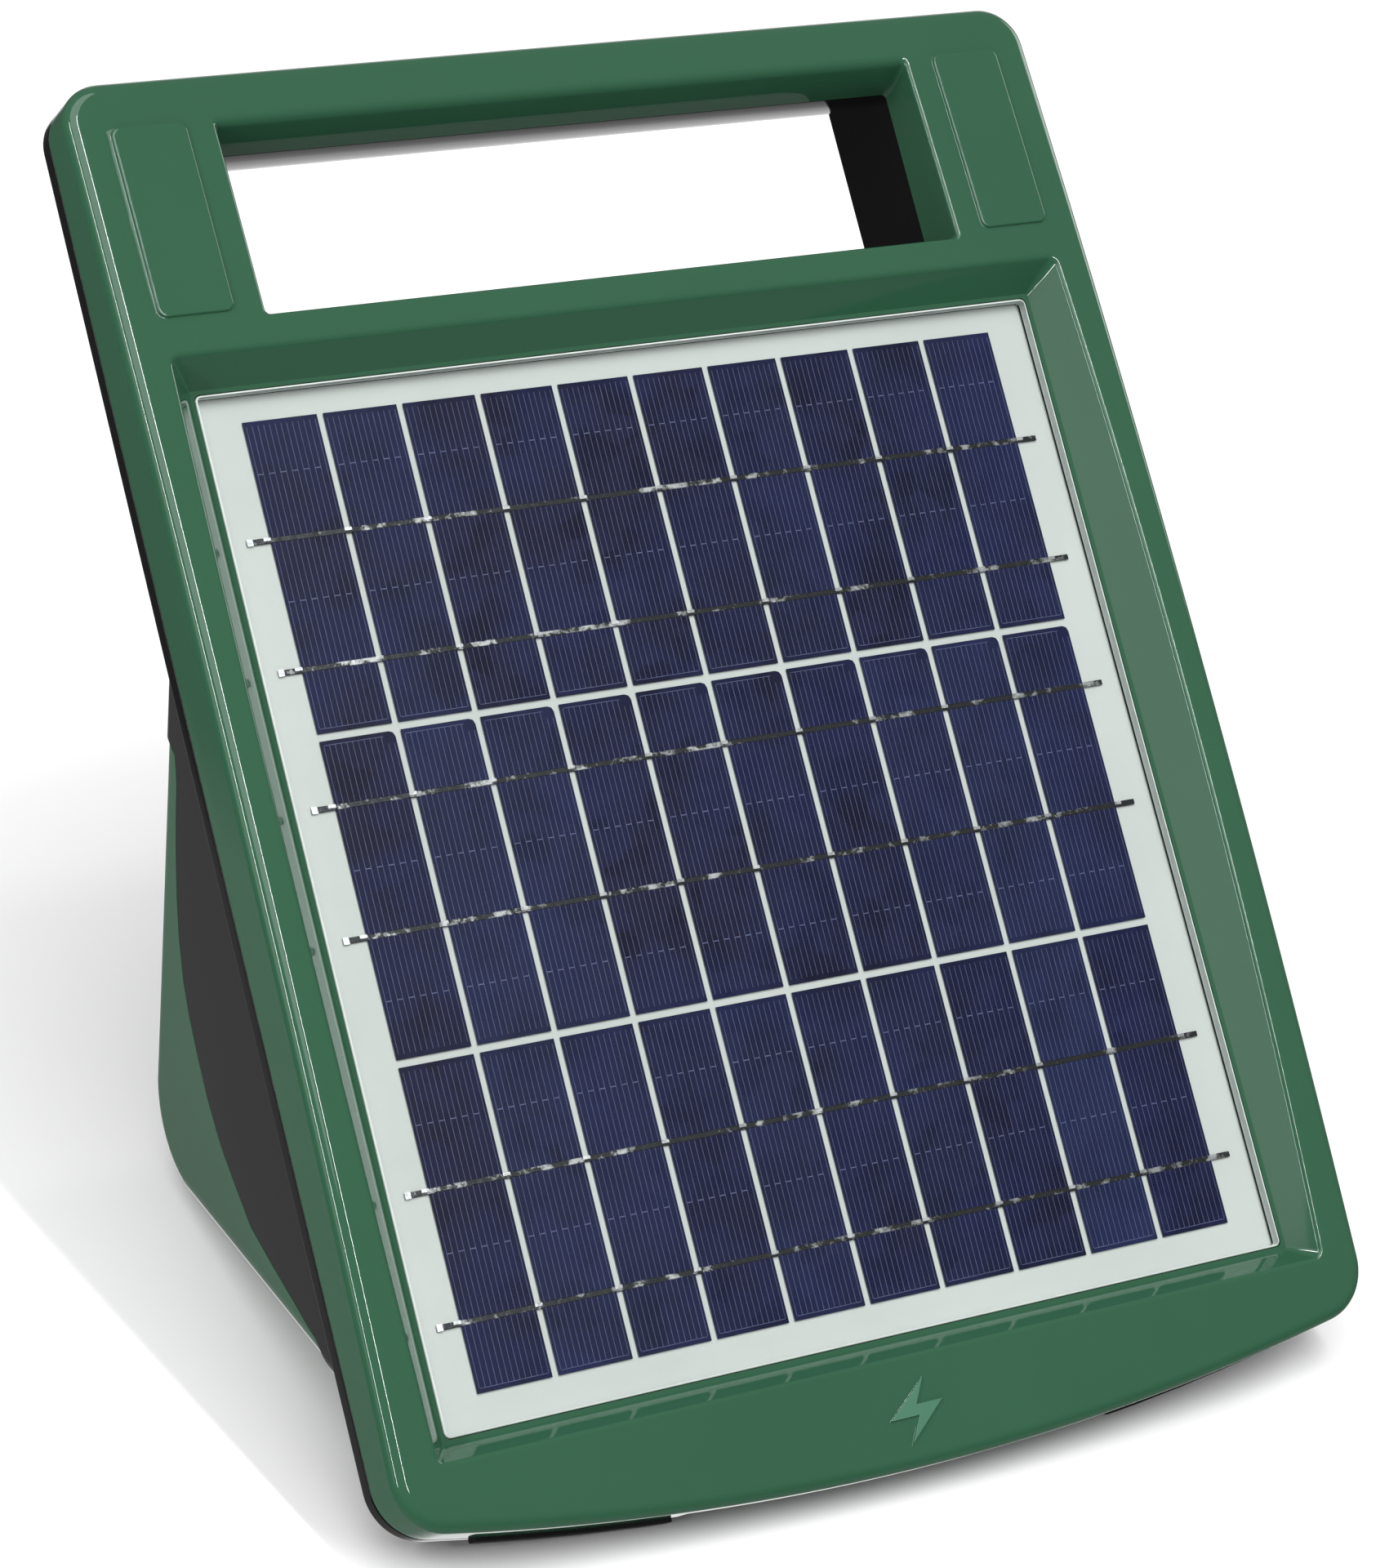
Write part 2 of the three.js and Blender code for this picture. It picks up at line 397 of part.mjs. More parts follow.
// ---------------------------------------------------------------- battery and electronics
const B = BATTERY;
let battery = boxS(-B.u, B.u, B.v0, B.v1 - 2.4, B.n0, B.n1);
battery = battery.add(boxS(-B.u, B.u, B.v1 - 3, B.v1, B.n0 + 5, B.n1 - 5));
battery = battery.add(boxS(-80, -75, B.v1 - 1, B.v1 + 6, -38.5, -37.7)).add(boxS(75, 80, B.v1 - 1, B.v1 + 6, -38.5, -37.7));
add('battery', battery, 0x2d3035, 0.55);
{
  const t = 1.4, w = 9;
  const pts = [[-80, PN - 0.35], [-80, PN - 0.35 - t], [-64.8, PN - 0.35 - t], [-64.8, B.n0 - 0.4 - t], [9.8, B.n0 - 0.4 - t],
    [9.8, PN - 0.35 - t], [25, PN - 0.35 - t], [25, PN - 0.35], [8.4, PN - 0.35], [8.4, B.n0 - 0.4], [-63.4, B.n0 - 0.4], [-63.4, PN - 0.35]];
  let strap = solid(alongU(pts, -w, w));
  for (const v of [16.5, -71.5]) strap = strap.subtract(rodS([0, v, 0], [0, 0, 1], -30, 0, 2.1, 12));
  add('battery_bracket', strap, STEEL, 0.4, 1);
  [16.5, -71.5].forEach((v, i) => add('bracket_screw_' + (i + 1),
    turnedS([0, v, 0], [0, 0, 1], [[0, -23.2], [3.6, -23.2], [3.6, -20.6], [1.6, -20.6], [1.6, -13.5], [0, -13.5]], 12), STEEL, 0.3, 1));
}
{
  let board = boxS(-96, 96, 63.5, 135.5, -31, -29.4);
  for (const [u, v] of STANDOFFS) board = board.subtract(rodS([u, v, 0], [0, 0, 1], -35, -25, 1.6, 10));
  board = board.add(boxS(-70, -52, 70, 82, -29.6, -20)).add(boxS(-30, -14, 108, 120, -29.6, -25)).add(boxS(-84, -60, 100, 122, -29.6, -22));
  add('circuit_board', board, BOARD, 0.5);
  STANDOFFS.forEach(([u, v], i) => add('board_screw_' + (i + 1),
    turnedS([u, v, 0], [0, 0, 1], [[0, -32.7], [1.1, -32.7], [1.1, -29.1], [2.7, -29.1], [2.7, -27.2], [0, -27.2]], 10), STEEL, 0.3, 1));
  const core = boxS(38, 84, 78, 124, -29.1, -11).subtract(boxS(46, 56, 86, 116, -40, 0)).subtract(boxS(66, 76, 86, 116, -40, 0));
  add('transformer_core', core, 0x45474a, 0.6);
  const coil = solid(alongN([[46.6, 89], [49, 86.6], [73, 86.6], [75.4, 89], [75.4, 113], [73, 115.4], [49, 115.4], [46.6, 113]], -28.7, -8))
    .subtract(boxS(55.6, 66.4, 80, 122, -40, -10.6));
  add('transformer_coil', coil, 0x8a4a20, 0.5);
  add('storage_capacitor', turnedS([14, 84, -18.2], [0, 1, 0], [[0, -14], [10, -14], [10.6, -13], [10.6, 27], [10, 28], [0, 28]], 20), 0x20304a, 0.4);
}
// internal leads, along smooth routes
function lead(name, pts, r, steps, colour) {
  const curve = new THREE.CatmullRomCurve3(pts.map((p) => vec(p)), false, 'centripetal');
  const ring = new THREE.Shape(arc(0, 0, r, 0, Math.PI * 2, 8).slice(0, -1).map((p) => new THREE.Vector2(...p)));
  add(name, new THREE.ExtrudeGeometry(ring, { steps, extrudePath: curve, bevelEnabled: false, curveSegments: 8 }), colour, 0.6);
}
lead('battery_lead_red', [[-77.5, 13.5, -38.1], [-76, 18, -35], [-64, 22, -27], [-45, 24, -22], [-38, 25.5, -15], [-37, 34, -11], [-42, 52, -13], [-48, 62, -16], [-51, 66, -21], [-51.5, 68.4, -25]], 1.1, 26, RED);
lead('battery_lead_black', [[77.5, 13.5, -38.1], [75.5, 18, -34.5], [50, 22.5, -28], [0, 24, -26.5], [-26, 24, -24], [-36.5, 22, -19], [-41.5, 22, -13], [-46, 34, -10.6], [-57, 50, -13], [-63, 60, -16], [-65, 65, -21], [-65, 68.4, -25]], 1.1, 34, 0x161616);
lead('panel_lead', [[-40, 65.6, -8], [-40, 58, -8.5], [-44, 53, -9], [-56, 52.5, -10], [-70, 56, -13], [-77, 70, -17], [-76, 90, -19], [-74, 99, -20.5]].slice(0, 7), 1.1, 22, 0x161616);
lead('fence_lead', [[70, 76.2, -22], [76, 66, -18.5], [88, 50, -13.2], [101, 36, -12.6], [110, 27, -12.6], [112.6, 21.5, -16.5], [110, 15.5, -22], [109.6, 2, -27], [110, -14, -31], [112.5, -23.4, -33], [115, -25, -33], [117.2, -25, -33]], 1.4, 34, RED);
lead('earth_lead', [[52, 76.2, -20], [54, 69, -17], [66, 56, -12.4], [84, 42, -9], [98, 31, -9], [105, 25.5, -12], [107, 21.5, -18], [105.5, 8, -25], [104.5, -20, -31], [105.5, -48, -33], [109, -58.5, -33], [113, -61, -33], [117.2, -61, -33]], 1.4, 36, 0x1f7a3a);

export default panel;
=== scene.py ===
import json
import math
import random

import bmesh
import bpy
import numpy as np
from mathutils import Matrix, Vector
from mathutils.geometry import delaunay_2d_cdt

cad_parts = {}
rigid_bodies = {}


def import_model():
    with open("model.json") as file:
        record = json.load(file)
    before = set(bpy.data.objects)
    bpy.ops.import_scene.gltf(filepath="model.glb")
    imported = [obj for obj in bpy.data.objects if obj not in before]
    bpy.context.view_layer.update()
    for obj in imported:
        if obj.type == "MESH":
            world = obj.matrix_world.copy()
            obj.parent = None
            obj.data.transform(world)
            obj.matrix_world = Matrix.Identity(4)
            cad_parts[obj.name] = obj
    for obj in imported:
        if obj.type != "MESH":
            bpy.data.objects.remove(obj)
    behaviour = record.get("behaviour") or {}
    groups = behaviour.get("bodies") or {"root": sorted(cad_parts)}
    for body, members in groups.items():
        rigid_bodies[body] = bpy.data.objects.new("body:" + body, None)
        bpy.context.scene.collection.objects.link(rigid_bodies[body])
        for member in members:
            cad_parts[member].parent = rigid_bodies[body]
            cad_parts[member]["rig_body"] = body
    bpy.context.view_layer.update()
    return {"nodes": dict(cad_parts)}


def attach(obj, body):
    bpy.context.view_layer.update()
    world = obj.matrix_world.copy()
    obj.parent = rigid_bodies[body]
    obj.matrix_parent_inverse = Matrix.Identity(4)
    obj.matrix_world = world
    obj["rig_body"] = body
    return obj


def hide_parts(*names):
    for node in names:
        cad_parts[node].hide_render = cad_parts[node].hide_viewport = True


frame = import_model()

random.seed(7)

# ---------------------------------------------------------------- panel frame
# u to the right, v up the panel, n out of the panel, in millimetres about the
# middle of the cell grid; P() gives metres in the row frame.
LEAN = math.radians(46.5)
S, K = math.sin(LEAN), math.cos(LEAN)
OX, OY, FZ = -7.8, -24.4745, 115.7


def P(p):
    u, v, n = p
    return Vector(((u + OX) / 1000, (v * S - n * K + OY) / 1000, (v * K + n * S + FZ) / 1000))


def D(d):
    u, v, n = d
    return Vector((u, v * S - n * K, v * K + n * S))


HALF_W, TOP_V, BOTTOM_V, BOTTOM_R = 134.9, 205.0, -159.7, 691.0
R_TOP, R_BOTTOM = 11.0, 14.0
CROWN, CROWN_K, CROWN_V = 13.8, 1.76e-4, 15.0
FRAME_BACK, FLANGE_FRONT, FLANGE_BACK, BODY_BACK = -5.2, -5.5, -10.5, -36.0
CELL_W, CELL_H, CELL_PITCH, ROW_PITCH, RIBBON = 19.51, 78.0, 21.225, 79.88, 1.4
OPEN_U, OPEN_V0 = 97.0, 142.0
UPPER_U, SIDE_U, DRAFT = 123.0, 131.0, 0.072
ARC_V, ARC_N, ARC_R = -30.6, -93.0, 25.0
BOTTOM_SLOPE, BOTTOM_REACH = 1.415, 179.6
SHELL_WALL, PARTITION_N, PARTITION_T, GAP = 2.5, -16.0, 2.5, 0.4
FLOOR_Z = -115.7
CONTROL_N, SWITCH_V, FENCE_V, EARTH_V, BOSS_U = -33.0, 12.0, -25.0, -61.0, 131.2
LED_V, LED_N = 35.0, -21.0
COVER_SCREW_U, SCREW_Z = 100.0, 6.0
SCREWS_TOP = [(-115.5, 168), (115.5, 168)]
SCREWS_BOTTOM = [(-104, -142.6), (-38, -147), (38, -147), (104, -142.6)]


def crown(v):
    return CROWN - CROWN_K * (v - CROWN_V) ** 2


def to_panel(y, z):
    return y * S + z * K, -y * K + z * S


def arc(cx, cy, r, a0, a1, n):
    return [(cx + r * math.cos(a0 + (a1 - a0) * i / n), cy + r * math.sin(a0 + (a1 - a0) * i / n)) for i in range(n + 1)]


def line(a, b, n):
    """n points from a, b left out"""
    return [(a[0] + (b[0] - a[0]) * i / n, a[1] + (b[1] - a[1]) * i / n) for i in range(n)]


def outline(d, fine=1):
    """Outer outline of the front frame, moved inwards by d, same count for every d."""
    w, top = HALF_W - d, TOP_V - d
    rb, rt = max(R_BOTTOM - d, 1.0), max(R_TOP - d, 1.0)
    R, cy = BOTTOM_R - d, BOTTOM_V + BOTTOM_R
    fu = w - rb
    fv = cy - math.sqrt((R - rb) ** 2 - fu ** 2)
    a = math.atan2(fv - cy, fu)
    left = math.pi - (a + 2 * math.pi)
    pts = arc(0, cy, R, -math.pi - a, a, 40 * fine)[:-1]
    pts += arc(fu, fv, rb, a, 0, 14)
    pts += line(pts[-1], (w, top - rt), 24 * fine)[1:]
    pts += arc(w - rt, top - rt, rt, 0, math.pi / 2, 12)
    pts += line(pts[-1], (-w + rt, top), 16)[1:]
    pts += arc(-w + rt, top - rt, rt, math.pi / 2, math.pi, 12)
    pts += line(pts[-1], (-w, fv), 24 * fine)[1:]
    pts += arc(-fu, fv, rb, math.pi, 2 * math.pi + left, 14)[:-1]
    return pts


# ---------------------------------------------------------------- mesh building
def inside_poly(x, y, poly):
    hit = False
    j = len(poly) - 1
    for i in range(len(poly)):
        xi, yi = poly[i]
        xj, yj = poly[j]
        if (yi > y) != (yj > y) and x < (xj - xi) * (y - yi) / (yj - yi) + xi:
            hit = not hit
        j = i
    return hit


class Build:
    """Vertices in the panel frame, joined by rings and filled caps."""

    def __init__(self):
        self.v, self.f = [], []

    def ring(self, pts):
        start = len(self.v)
        self.v.extend([tuple(map(float, p)) for p in pts])
        return list(range(start, start + len(pts)))

    def bridge(self, a, b):
        n = len(a)
        for i in range(n):
            j = (i + 1) % n
            self.f.append((a[i], a[j], b[j], b[i]))

    def strip(self, rings):
        ids = [self.ring(r) for r in rings]
        for a, b in zip(ids, ids[1:]):
            self.bridge(a, b)
        return ids

    def fill(self, outer, holes=(), axes=(0, 1), extra=()):
        """Triangulates between loops of vertex ids; extra are further vertex ids inside."""
        loops = [outer, *holes]
        ids = [i for l in loops for i in l] + list(extra)
        co = [Vector((self.v[i][axes[0]], self.v[i][axes[1]])) for i in ids]
        edges, k = [], 0
        for l in loops:
            edges += [(k + i, k + (i + 1) % len(l)) for i in range(len(l))]
            k += len(l)
        out = delaunay_2d_cdt(co, edges, [], 0, 1e-7, True)
        verts, faces, orig = out[0], out[2], out[3]
        polys = [[(self.v[i][axes[0]], self.v[i][axes[1]]) for i in l] for l in loops]
        back = [ids[o[0]] if o else None for o in orig]
        for f in faces:
            cx = sum(verts[i].x for i in f) / len(f)
            cy = sum(verts[i].y for i in f) / len(f)
            if not inside_poly(cx, cy, polys[0]) or any(inside_poly(cx, cy, h) for h in polys[1:]):
                continue
            g = [back[i] for i in f]
            if None not in g and len(set(g)) == 3:
                self.f.append(tuple(g))

    def obj(self, name):
        me = bpy.data.meshes.new(name)
        me.from_pydata([P(p) for p in self.v], [], self.f)
        bm = bmesh.new()
        bm.from_mesh(me)
        bmesh.ops.remove_doubles(bm, verts=bm.verts, dist=2e-6)
        bmesh.ops.recalc_face_normals(bm, faces=bm.faces)
        bm.to_mesh(me)
        bm.free()
        o = bpy.data.objects.new(name, me)
        bpy.context.scene.collection.objects.link(o)
        return o


def smooth(o, angle=38, weighted=True):
    for p in o.data.polygons:
        p.use_smooth = True
    o.data.set_sharp_from_angle(angle=math.radians(angle))
    if weighted:
        m = o.modifiers.new("normals", "WEIGHTED_NORMAL")
        m.keep_sharp = True
        m.weight = 60
    return o


def prism(pts, a0, a1, axis, name="tool"):
    """Closed prism of a 2D outline. axis "n": (u, v); "u": (v, n); "v": (u, n)."""
    place = {"n": lambda p, a: (p[0], p[1], a), "u": lambda p, a: (a, p[0], p[1]), "v": lambda p, a: (p[0], a, p[1])}[axis]
    axes = {"n": (0, 1), "u": (1, 2), "v": (0, 2)}[axis]
    b = Build()
    lo = b.ring([place(p, a0) for p in pts])
    hi = b.ring([place(p, a1) for p in pts])
    b.bridge(lo, hi)
    b.fill(lo, axes=axes)
    b.fill(hi, axes=axes)
    return b.obj(name)


def block(u0, u1, v0, v1, n0, n1):
    return prism([(u0, v0), (u1, v0), (u1, v1), (u0, v1)], n0, n1, "n")


def turned(p, d, profile, seg=40, name="tool"):
    """Turned piece: profile of (radius, distance along d), from axis to axis."""
    z = Vector(d).normalized()
    x = z.orthogonal().normalized()
    y = z.cross(x)
    b = Build()
    rings = []
    for r, s in profile:
        c = Vector(p) + z * s
        if r < 1e-6:
            rings.append(b.ring([c]))
        else:
            rings.append(b.ring([c + x * (r * math.cos(2 * math.pi * i / seg)) + y * (r * math.sin(2 * math.pi * i / seg)) for i in range(seg)]))
    for a, c in zip(rings, rings[1:]):
        if len(a) == 1 and len(c) == 1:
            continue
        for i in range(seg):
            j = (i + 1) % seg
            if len(a) == 1:
                b.f.append((a[0], c[i], c[j]))
            elif len(c) == 1:
                b.f.append((a[i], a[j], c[0]))
            else:
                b.f.append((a[i], a[j], c[j], c[i]))
    return b.obj(name)


def rod(p, d, s0, s1, r, seg=32):
    return turned(p, d, [(0, s0), (r, s0), (r, s1), (0, s1)], seg)


def boolean(a, tool, op, keep=False):
    m = a.modifiers.new("b", "BOOLEAN")
    m.operation, m.object, m.solver = op, tool, "MANIFOLD"
    dg = bpy.context.evaluated_depsgraph_get()
    me = bpy.data.meshes.new_from_object(a.evaluated_get(dg))
    a.modifiers.clear()
    old, a.data = a.data, me
    bpy.data.meshes.remove(old)
    if not keep:
        data = tool.data
        bpy.data.objects.remove(tool)
        bpy.data.meshes.remove(data)
    return a


def cut(a, *tools):
    for t in tools:
        boolean(a, t, "DIFFERENCE")
    return a


def join(a, *tools):
    for t in tools:
        boolean(a, t, "UNION")
    return a


def meet(a, t):
    return boolean(a, t, "INTERSECT")


def copy_of(o):
    c = bpy.data.objects.new(o.name + "_c", o.data.copy())
    bpy.context.scene.collection.objects.link(c)
    return c


def edged(o, width=0.35, angle=42, segments=2):
    """Merges flat faces, then rounds the sharp edges by a real bevel."""
    bm = bmesh.new()
    bm.from_mesh(o.data)
    bmesh.ops.remove_doubles(bm, verts=bm.verts, dist=3e-6)
    bmesh.ops.dissolve_degenerate(bm, dist=3e-6, edges=bm.edges)
    bmesh.ops.dissolve_limit(bm, angle_limit=math.radians(0.6), verts=bm.verts, edges=bm.edges)
    bm.to_mesh(o.data)
    bm.free()
    m = o.modifiers.new("edges", "BEVEL")
    m.limit_method, m.angle_limit = "ANGLE", math.radians(angle)
    m.width, m.segments = width / 1000, segments
    m.use_clamp_overlap = True
    m.miter_outer = "MITER_ARC"
    dg = bpy.context.evaluated_depsgraph_get()
    me = bpy.data.meshes.new_from_object(o.evaluated_get(dg))
    o.modifiers.clear()
    o.data = me
    return smooth(o, 35)


def place(o, name, body, slot, node=None, *mats):
    o.name = name
    o.data.name = name
    o.data.materials.clear()
    for m in mats:
        o.data.materials.append(m)
    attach(o, body)
    if node:
        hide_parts(*([node] if isinstance(node, str) else node))
    return o


# ---------------------------------------------------------------- materials
def lin(c):
    out = []
    for x in c:
        x = x / 255
        out.append(x / 12.92 if x <= 0.04045 else ((x + 0.055) / 1.055) ** 2.4)
    return (*out, 1.0)


class Mat:
    def __init__(self, name, **sockets):
        self.m = bpy.data.materials.new(name)
        self.m.use_nodes = True
        self.t = self.m.node_tree
        self.b = self.t.nodes["Principled BSDF"]
        self.tc = self.node("ShaderNodeTexCoord")
        for k, v in sockets.items():
            self.b.inputs[k.replace("_", " ")].default_value = v

    def node(self, kind, **props):
        n = self.t.nodes.new(kind)
        for k, v in props.items():
            setattr(n, k, v)
        return n

    def link(self, a, b):
        self.t.links.new(a, b)

    def noise(self, scale, detail=3, stretch=None, rough=0.55):
        n = self.node("ShaderNodeTexNoise")
        n.inputs["Scale"].default_value = scale
        n.inputs["Detail"].default_value = detail
        n.inputs["Roughness"].default_value = rough
        src = self.tc.outputs["Object"]
        if stretch:
            mp = self.node("ShaderNodeMapping")
            mp.inputs["Scale"].default_value = stretch
            mp.inputs["Rotation"].default_value = (0.4, 0.2, 0.5)
            self.link(src, mp.inputs["Vector"])
            src = mp.outputs["Vector"]
        self.link(src, n.inputs["Vector"])
        return n.outputs["Fac"]

    def voronoi(self, scale, feature="F1", out="Distance"):
        n = self.node("ShaderNodeTexVoronoi", feature=feature)
        n.inputs["Scale"].default_value = scale
        self.link(self.tc.outputs["Object"], n.inputs["Vector"])
        return n.outputs[out]

    def span(self, value, a, b, to0, to1):
        n = self.node("ShaderNodeMapRange")
        for k, x in zip(("From Min", "From Max", "To Min", "To Max"), (a, b, to0, to1)):
            n.inputs[k].default_value = x
        self.link(value, n.inputs["Value"])
        return n.outputs["Result"]

    def math(self, op, a, b):
        n = self.node("ShaderNodeMath", operation=op)
        for i, x in enumerate((a, b)):
            if isinstance(x, (int, float)):
                n.inputs[i].default_value = x
            else:
                self.link(x, n.inputs[i])
        return n.outputs[0]

    def mix(self, fac, a, b):
        n = self.node("ShaderNodeMix", data_type="RGBA")
        if isinstance(fac, (int, float)):
            n.inputs[0].default_value = fac
        else:
            self.link(fac, n.inputs[0])
        for i, x in ((6, a), (7, b)):
            if isinstance(x, tuple):
                n.inputs[i].default_value = x
            else:
                self.link(x, n.inputs[i])
        return n.outputs[2]

    def bump(self, heights):
        """heights: (value, distance in metres)"""
        last = None
        for value, dist in heights:
            n = self.node("ShaderNodeBump")
            n.inputs["Strength"].default_value = 1.0
            n.inputs["Distance"].default_value = dist
            self.link(value, n.inputs["Height"])
            if last:
                self.link(last, n.inputs["Normal"])
            last = n.outputs["Normal"]
        self.link(last, self.b.inputs["Normal"])

    def wear(self, low=0.53, high=0.6):
        """Worn convex edges, from the mesh's own pointiness."""
        g = self.node("ShaderNodeNewGeometry")
        return self.span(g.outputs["Pointiness"], low, high, 0, 1)


def plastic(name, base, light, rough=(0.2, 0.32), grain=6e-6, gloss=0.5, wear=0.25):
    m = Mat(name)
    m.b.inputs["Specular IOR Level"].default_value = gloss
    big = m.noise(14, 3)
    fine = m.noise(900, 3)
    scratch = m.span(m.noise(60, 4, (1.0, 26.0, 3.0), 0.7), 0.7, 0.75, 0, 1)
    col = m.mix(m.span(big, 0.3, 0.7, 0, 0.35), lin(base), lin(light))
    col = m.mix(m.math("MULTIPLY", m.wear(), wear), col, lin([min(255, x * 1.5 + 20) for x in light]))
    col = m.mix(m.math("MULTIPLY", scratch, 0.05), col, lin([min(255, x * 1.4 + 26) for x in light]))
    m.link(col, m.b.inputs["Base Color"])
    r = m.math("ADD", m.span(m.noise(26, 4), 0.3, 0.7, *rough), m.math("MULTIPLY", scratch, 0.04))
    m.link(r, m.b.inputs["Roughness"])
    m.bump([(fine, grain), (m.noise(240, 2), grain * 1.2), (scratch, 6e-7)])
    return m.m


def metal(name, colour, rough=(0.22, 0.4)):
    m = Mat(name, Metallic=1.0)
    brushed = m.noise(180, 4, (30.0, 1.0, 1.0), 0.6)
    spots = m.span(m.noise(120, 4), 0.6, 0.75, 0, 1)
    m.link(m.mix(m.math("MULTIPLY", spots, 0.35), lin(colour), lin([x * 0.62 for x in colour])), m.b.inputs["Base Color"])
    m.link(m.math("ADD", m.span(brushed, 0.3, 0.7, *rough), m.math("MULTIPLY", spots, 0.15)), m.b.inputs["Roughness"])
    m.bump([(brushed, 4e-6), (m.noise(700, 2), 3e-6)])
    return m.m


GREEN = plastic("green_plastic", (40, 79, 57), (44, 85, 62), (0.03, 0.06), 9e-7, 0.5, 0.05)
EMBLEM = plastic("green_textured", (52, 100, 76), (57, 107, 82), (0.3, 0.42), 1.6e-5, 0.5, 0.05)
DARKM = plastic("dark_plastic", (11, 11, 12), (14, 14, 15), (0.05, 0.09), 1.4e-6, 0.22, 0.04)
RUBBERM = plastic("rubber_black", (17, 17, 18), (27, 27, 27), (0.7, 0.88), 3e-5, 0.3, 0.2)
REDM = plastic("red_knob", (150, 22, 18), (172, 34, 26), (0.26, 0.42), 7e-6, 0.5, 0.3)
BLACKM = plastic("black_plastic", (30, 31, 34), (40, 41, 44), (0.34, 0.5), 1.4e-5, 0.45, 0.3)
CASE = plastic("battery_case", (44, 47, 52), (56, 59, 63), (0.42, 0.58), 1.6e-5, 0.4, 0.3)
STEELM = metal("steel", (188, 190, 192))
COPPER = plastic("coil_winding", (126, 66, 30), (150, 84, 40), (0.24, 0.4), 1.2e-5, 0.6, 0.2)
COREM = metal("core_steel", (96, 98, 102), (0.4, 0.6))
REDWIRE = plastic("red_wire", (168, 26, 22), (184, 38, 30), (0.4, 0.55), 8e-6, 0.4, 0.1)
BLACKWIRE = plastic("black_wire", (20, 20, 21), (30, 30, 31), (0.4, 0.55), 8e-6, 0.4, 0.1)
GREENWIRE = plastic("green_wire", (34, 118, 58), (46, 134, 70), (0.4, 0.55), 8e-6, 0.4, 0.1)
CAPM = plastic("capacitor_sleeve", (30, 44, 74), (40, 54, 86), (0.3, 0.42), 6e-6, 0.5, 0.2)


def board_material():
    m = Mat("circuit_board")
    tracks = m.span(m.voronoi(260, "DISTANCE_TO_EDGE"), 0.02, 0.06, 1, 0)
    speck = m.span(m.noise(500, 2), 0.6, 0.7, 0, 1)
    col = m.mix(m.math("MULTIPLY", tracks, 0.5), lin((24, 84, 48)), lin((52, 122, 74)))
    m.link(m.mix(m.math("MULTIPLY", speck, 0.25), col, lin((190, 196, 190))), m.b.inputs["Base Color"])
    m.link(m.span(m.noise(90), 0.3, 0.7, 0.35, 0.55), m.b.inputs["Roughness"])
    m.bump([(tracks, 3e-5), (m.noise(800), 1e-5)])
    return m.m


def sheet_material():
    m = Mat("backsheet_white")
    m.b.inputs["Specular IOR Level"].default_value = 0.35
    fine, big = m.noise(1100, 3), m.noise(24, 4)
    col = m.mix(m.span(big, 0.3, 0.7, 0, 1), lin((194, 200, 197)), lin((199, 205, 202)))
    specks = m.span(m.voronoi(420), 0.035, 0.02, 0, 1)
    col = m.mix(m.math("MULTIPLY", m.math("MULTIPLY", specks, m.span(m.noise(60), 0.62, 0.7, 0, 1)), 0.6), col, lin((120, 124, 122)))
    m.link(col, m.b.inputs["Base Color"])
    m.link(m.span(m.noise(60), 0.3, 0.7, 0.42, 0.6), m.b.inputs["Roughness"])
    m.bump([(fine, 6e-6)])
    return m.m


def cell_material():
    """Polycrystalline silicon: flat grains of slightly different blue, a tint per cell."""
    m = Mat("solar_cell")
    m.b.inputs["Specular IOR Level"].default_value = 0.1
    warp = m.node("ShaderNodeTexVoronoi", feature="F1")
    warp.inputs["Scale"].default_value = 150
    warp.inputs["Randomness"].default_value = 1.0
    m.link(m.tc.outputs["Object"], warp.inputs["Vector"])
    sep = m.node("ShaderNodeSeparateColor")
    m.link(warp.outputs["Color"], sep.inputs["Color"])
    grain = sep.outputs[0]
    tint = m.node("ShaderNodeAttribute", attribute_name="tint")
    col = m.mix(grain, lin((14, 15, 40)), lin((20, 22, 56)))
    col = m.mix(m.span(m.noise(42, 4), 0.4, 0.62, 0, 0.75), col, lin((22, 28, 68)))
    col = m.mix(m.math("MULTIPLY", tint.outputs["Fac"], 0.5), col, lin((40, 55, 98)))
    # painted highlight: small lighter dots in the base colour stand in for glints off the grains
    painted_sparkle = m.math("MULTIPLY", m.span(m.noise(700, 2), 0.66, 0.8, 0, 1), 0.04)
    m.link(m.mix(painted_sparkle, col, lin((92, 100, 142))), m.b.inputs["Base Color"])
    m.link(m.span(grain, 0, 1, 0.3, 0.48), m.b.inputs["Roughness"])
    m.bump([(m.noise(1500), 3e-7)])
    return m.m


def print_material(name, a, b, rough, metallic):
    m = Mat(name, Metallic=metallic)
    m.link(m.mix(m.span(m.noise(300, 4), 0.35, 0.65, 0, 1), lin(a), lin(b)), m.b.inputs["Base Color"])
    m.link(m.span(m.noise(500), 0.3, 0.7, *rough), m.b.inputs["Roughness"])
    m.bump([(m.noise(900), 1.5e-5)])
    return m.m


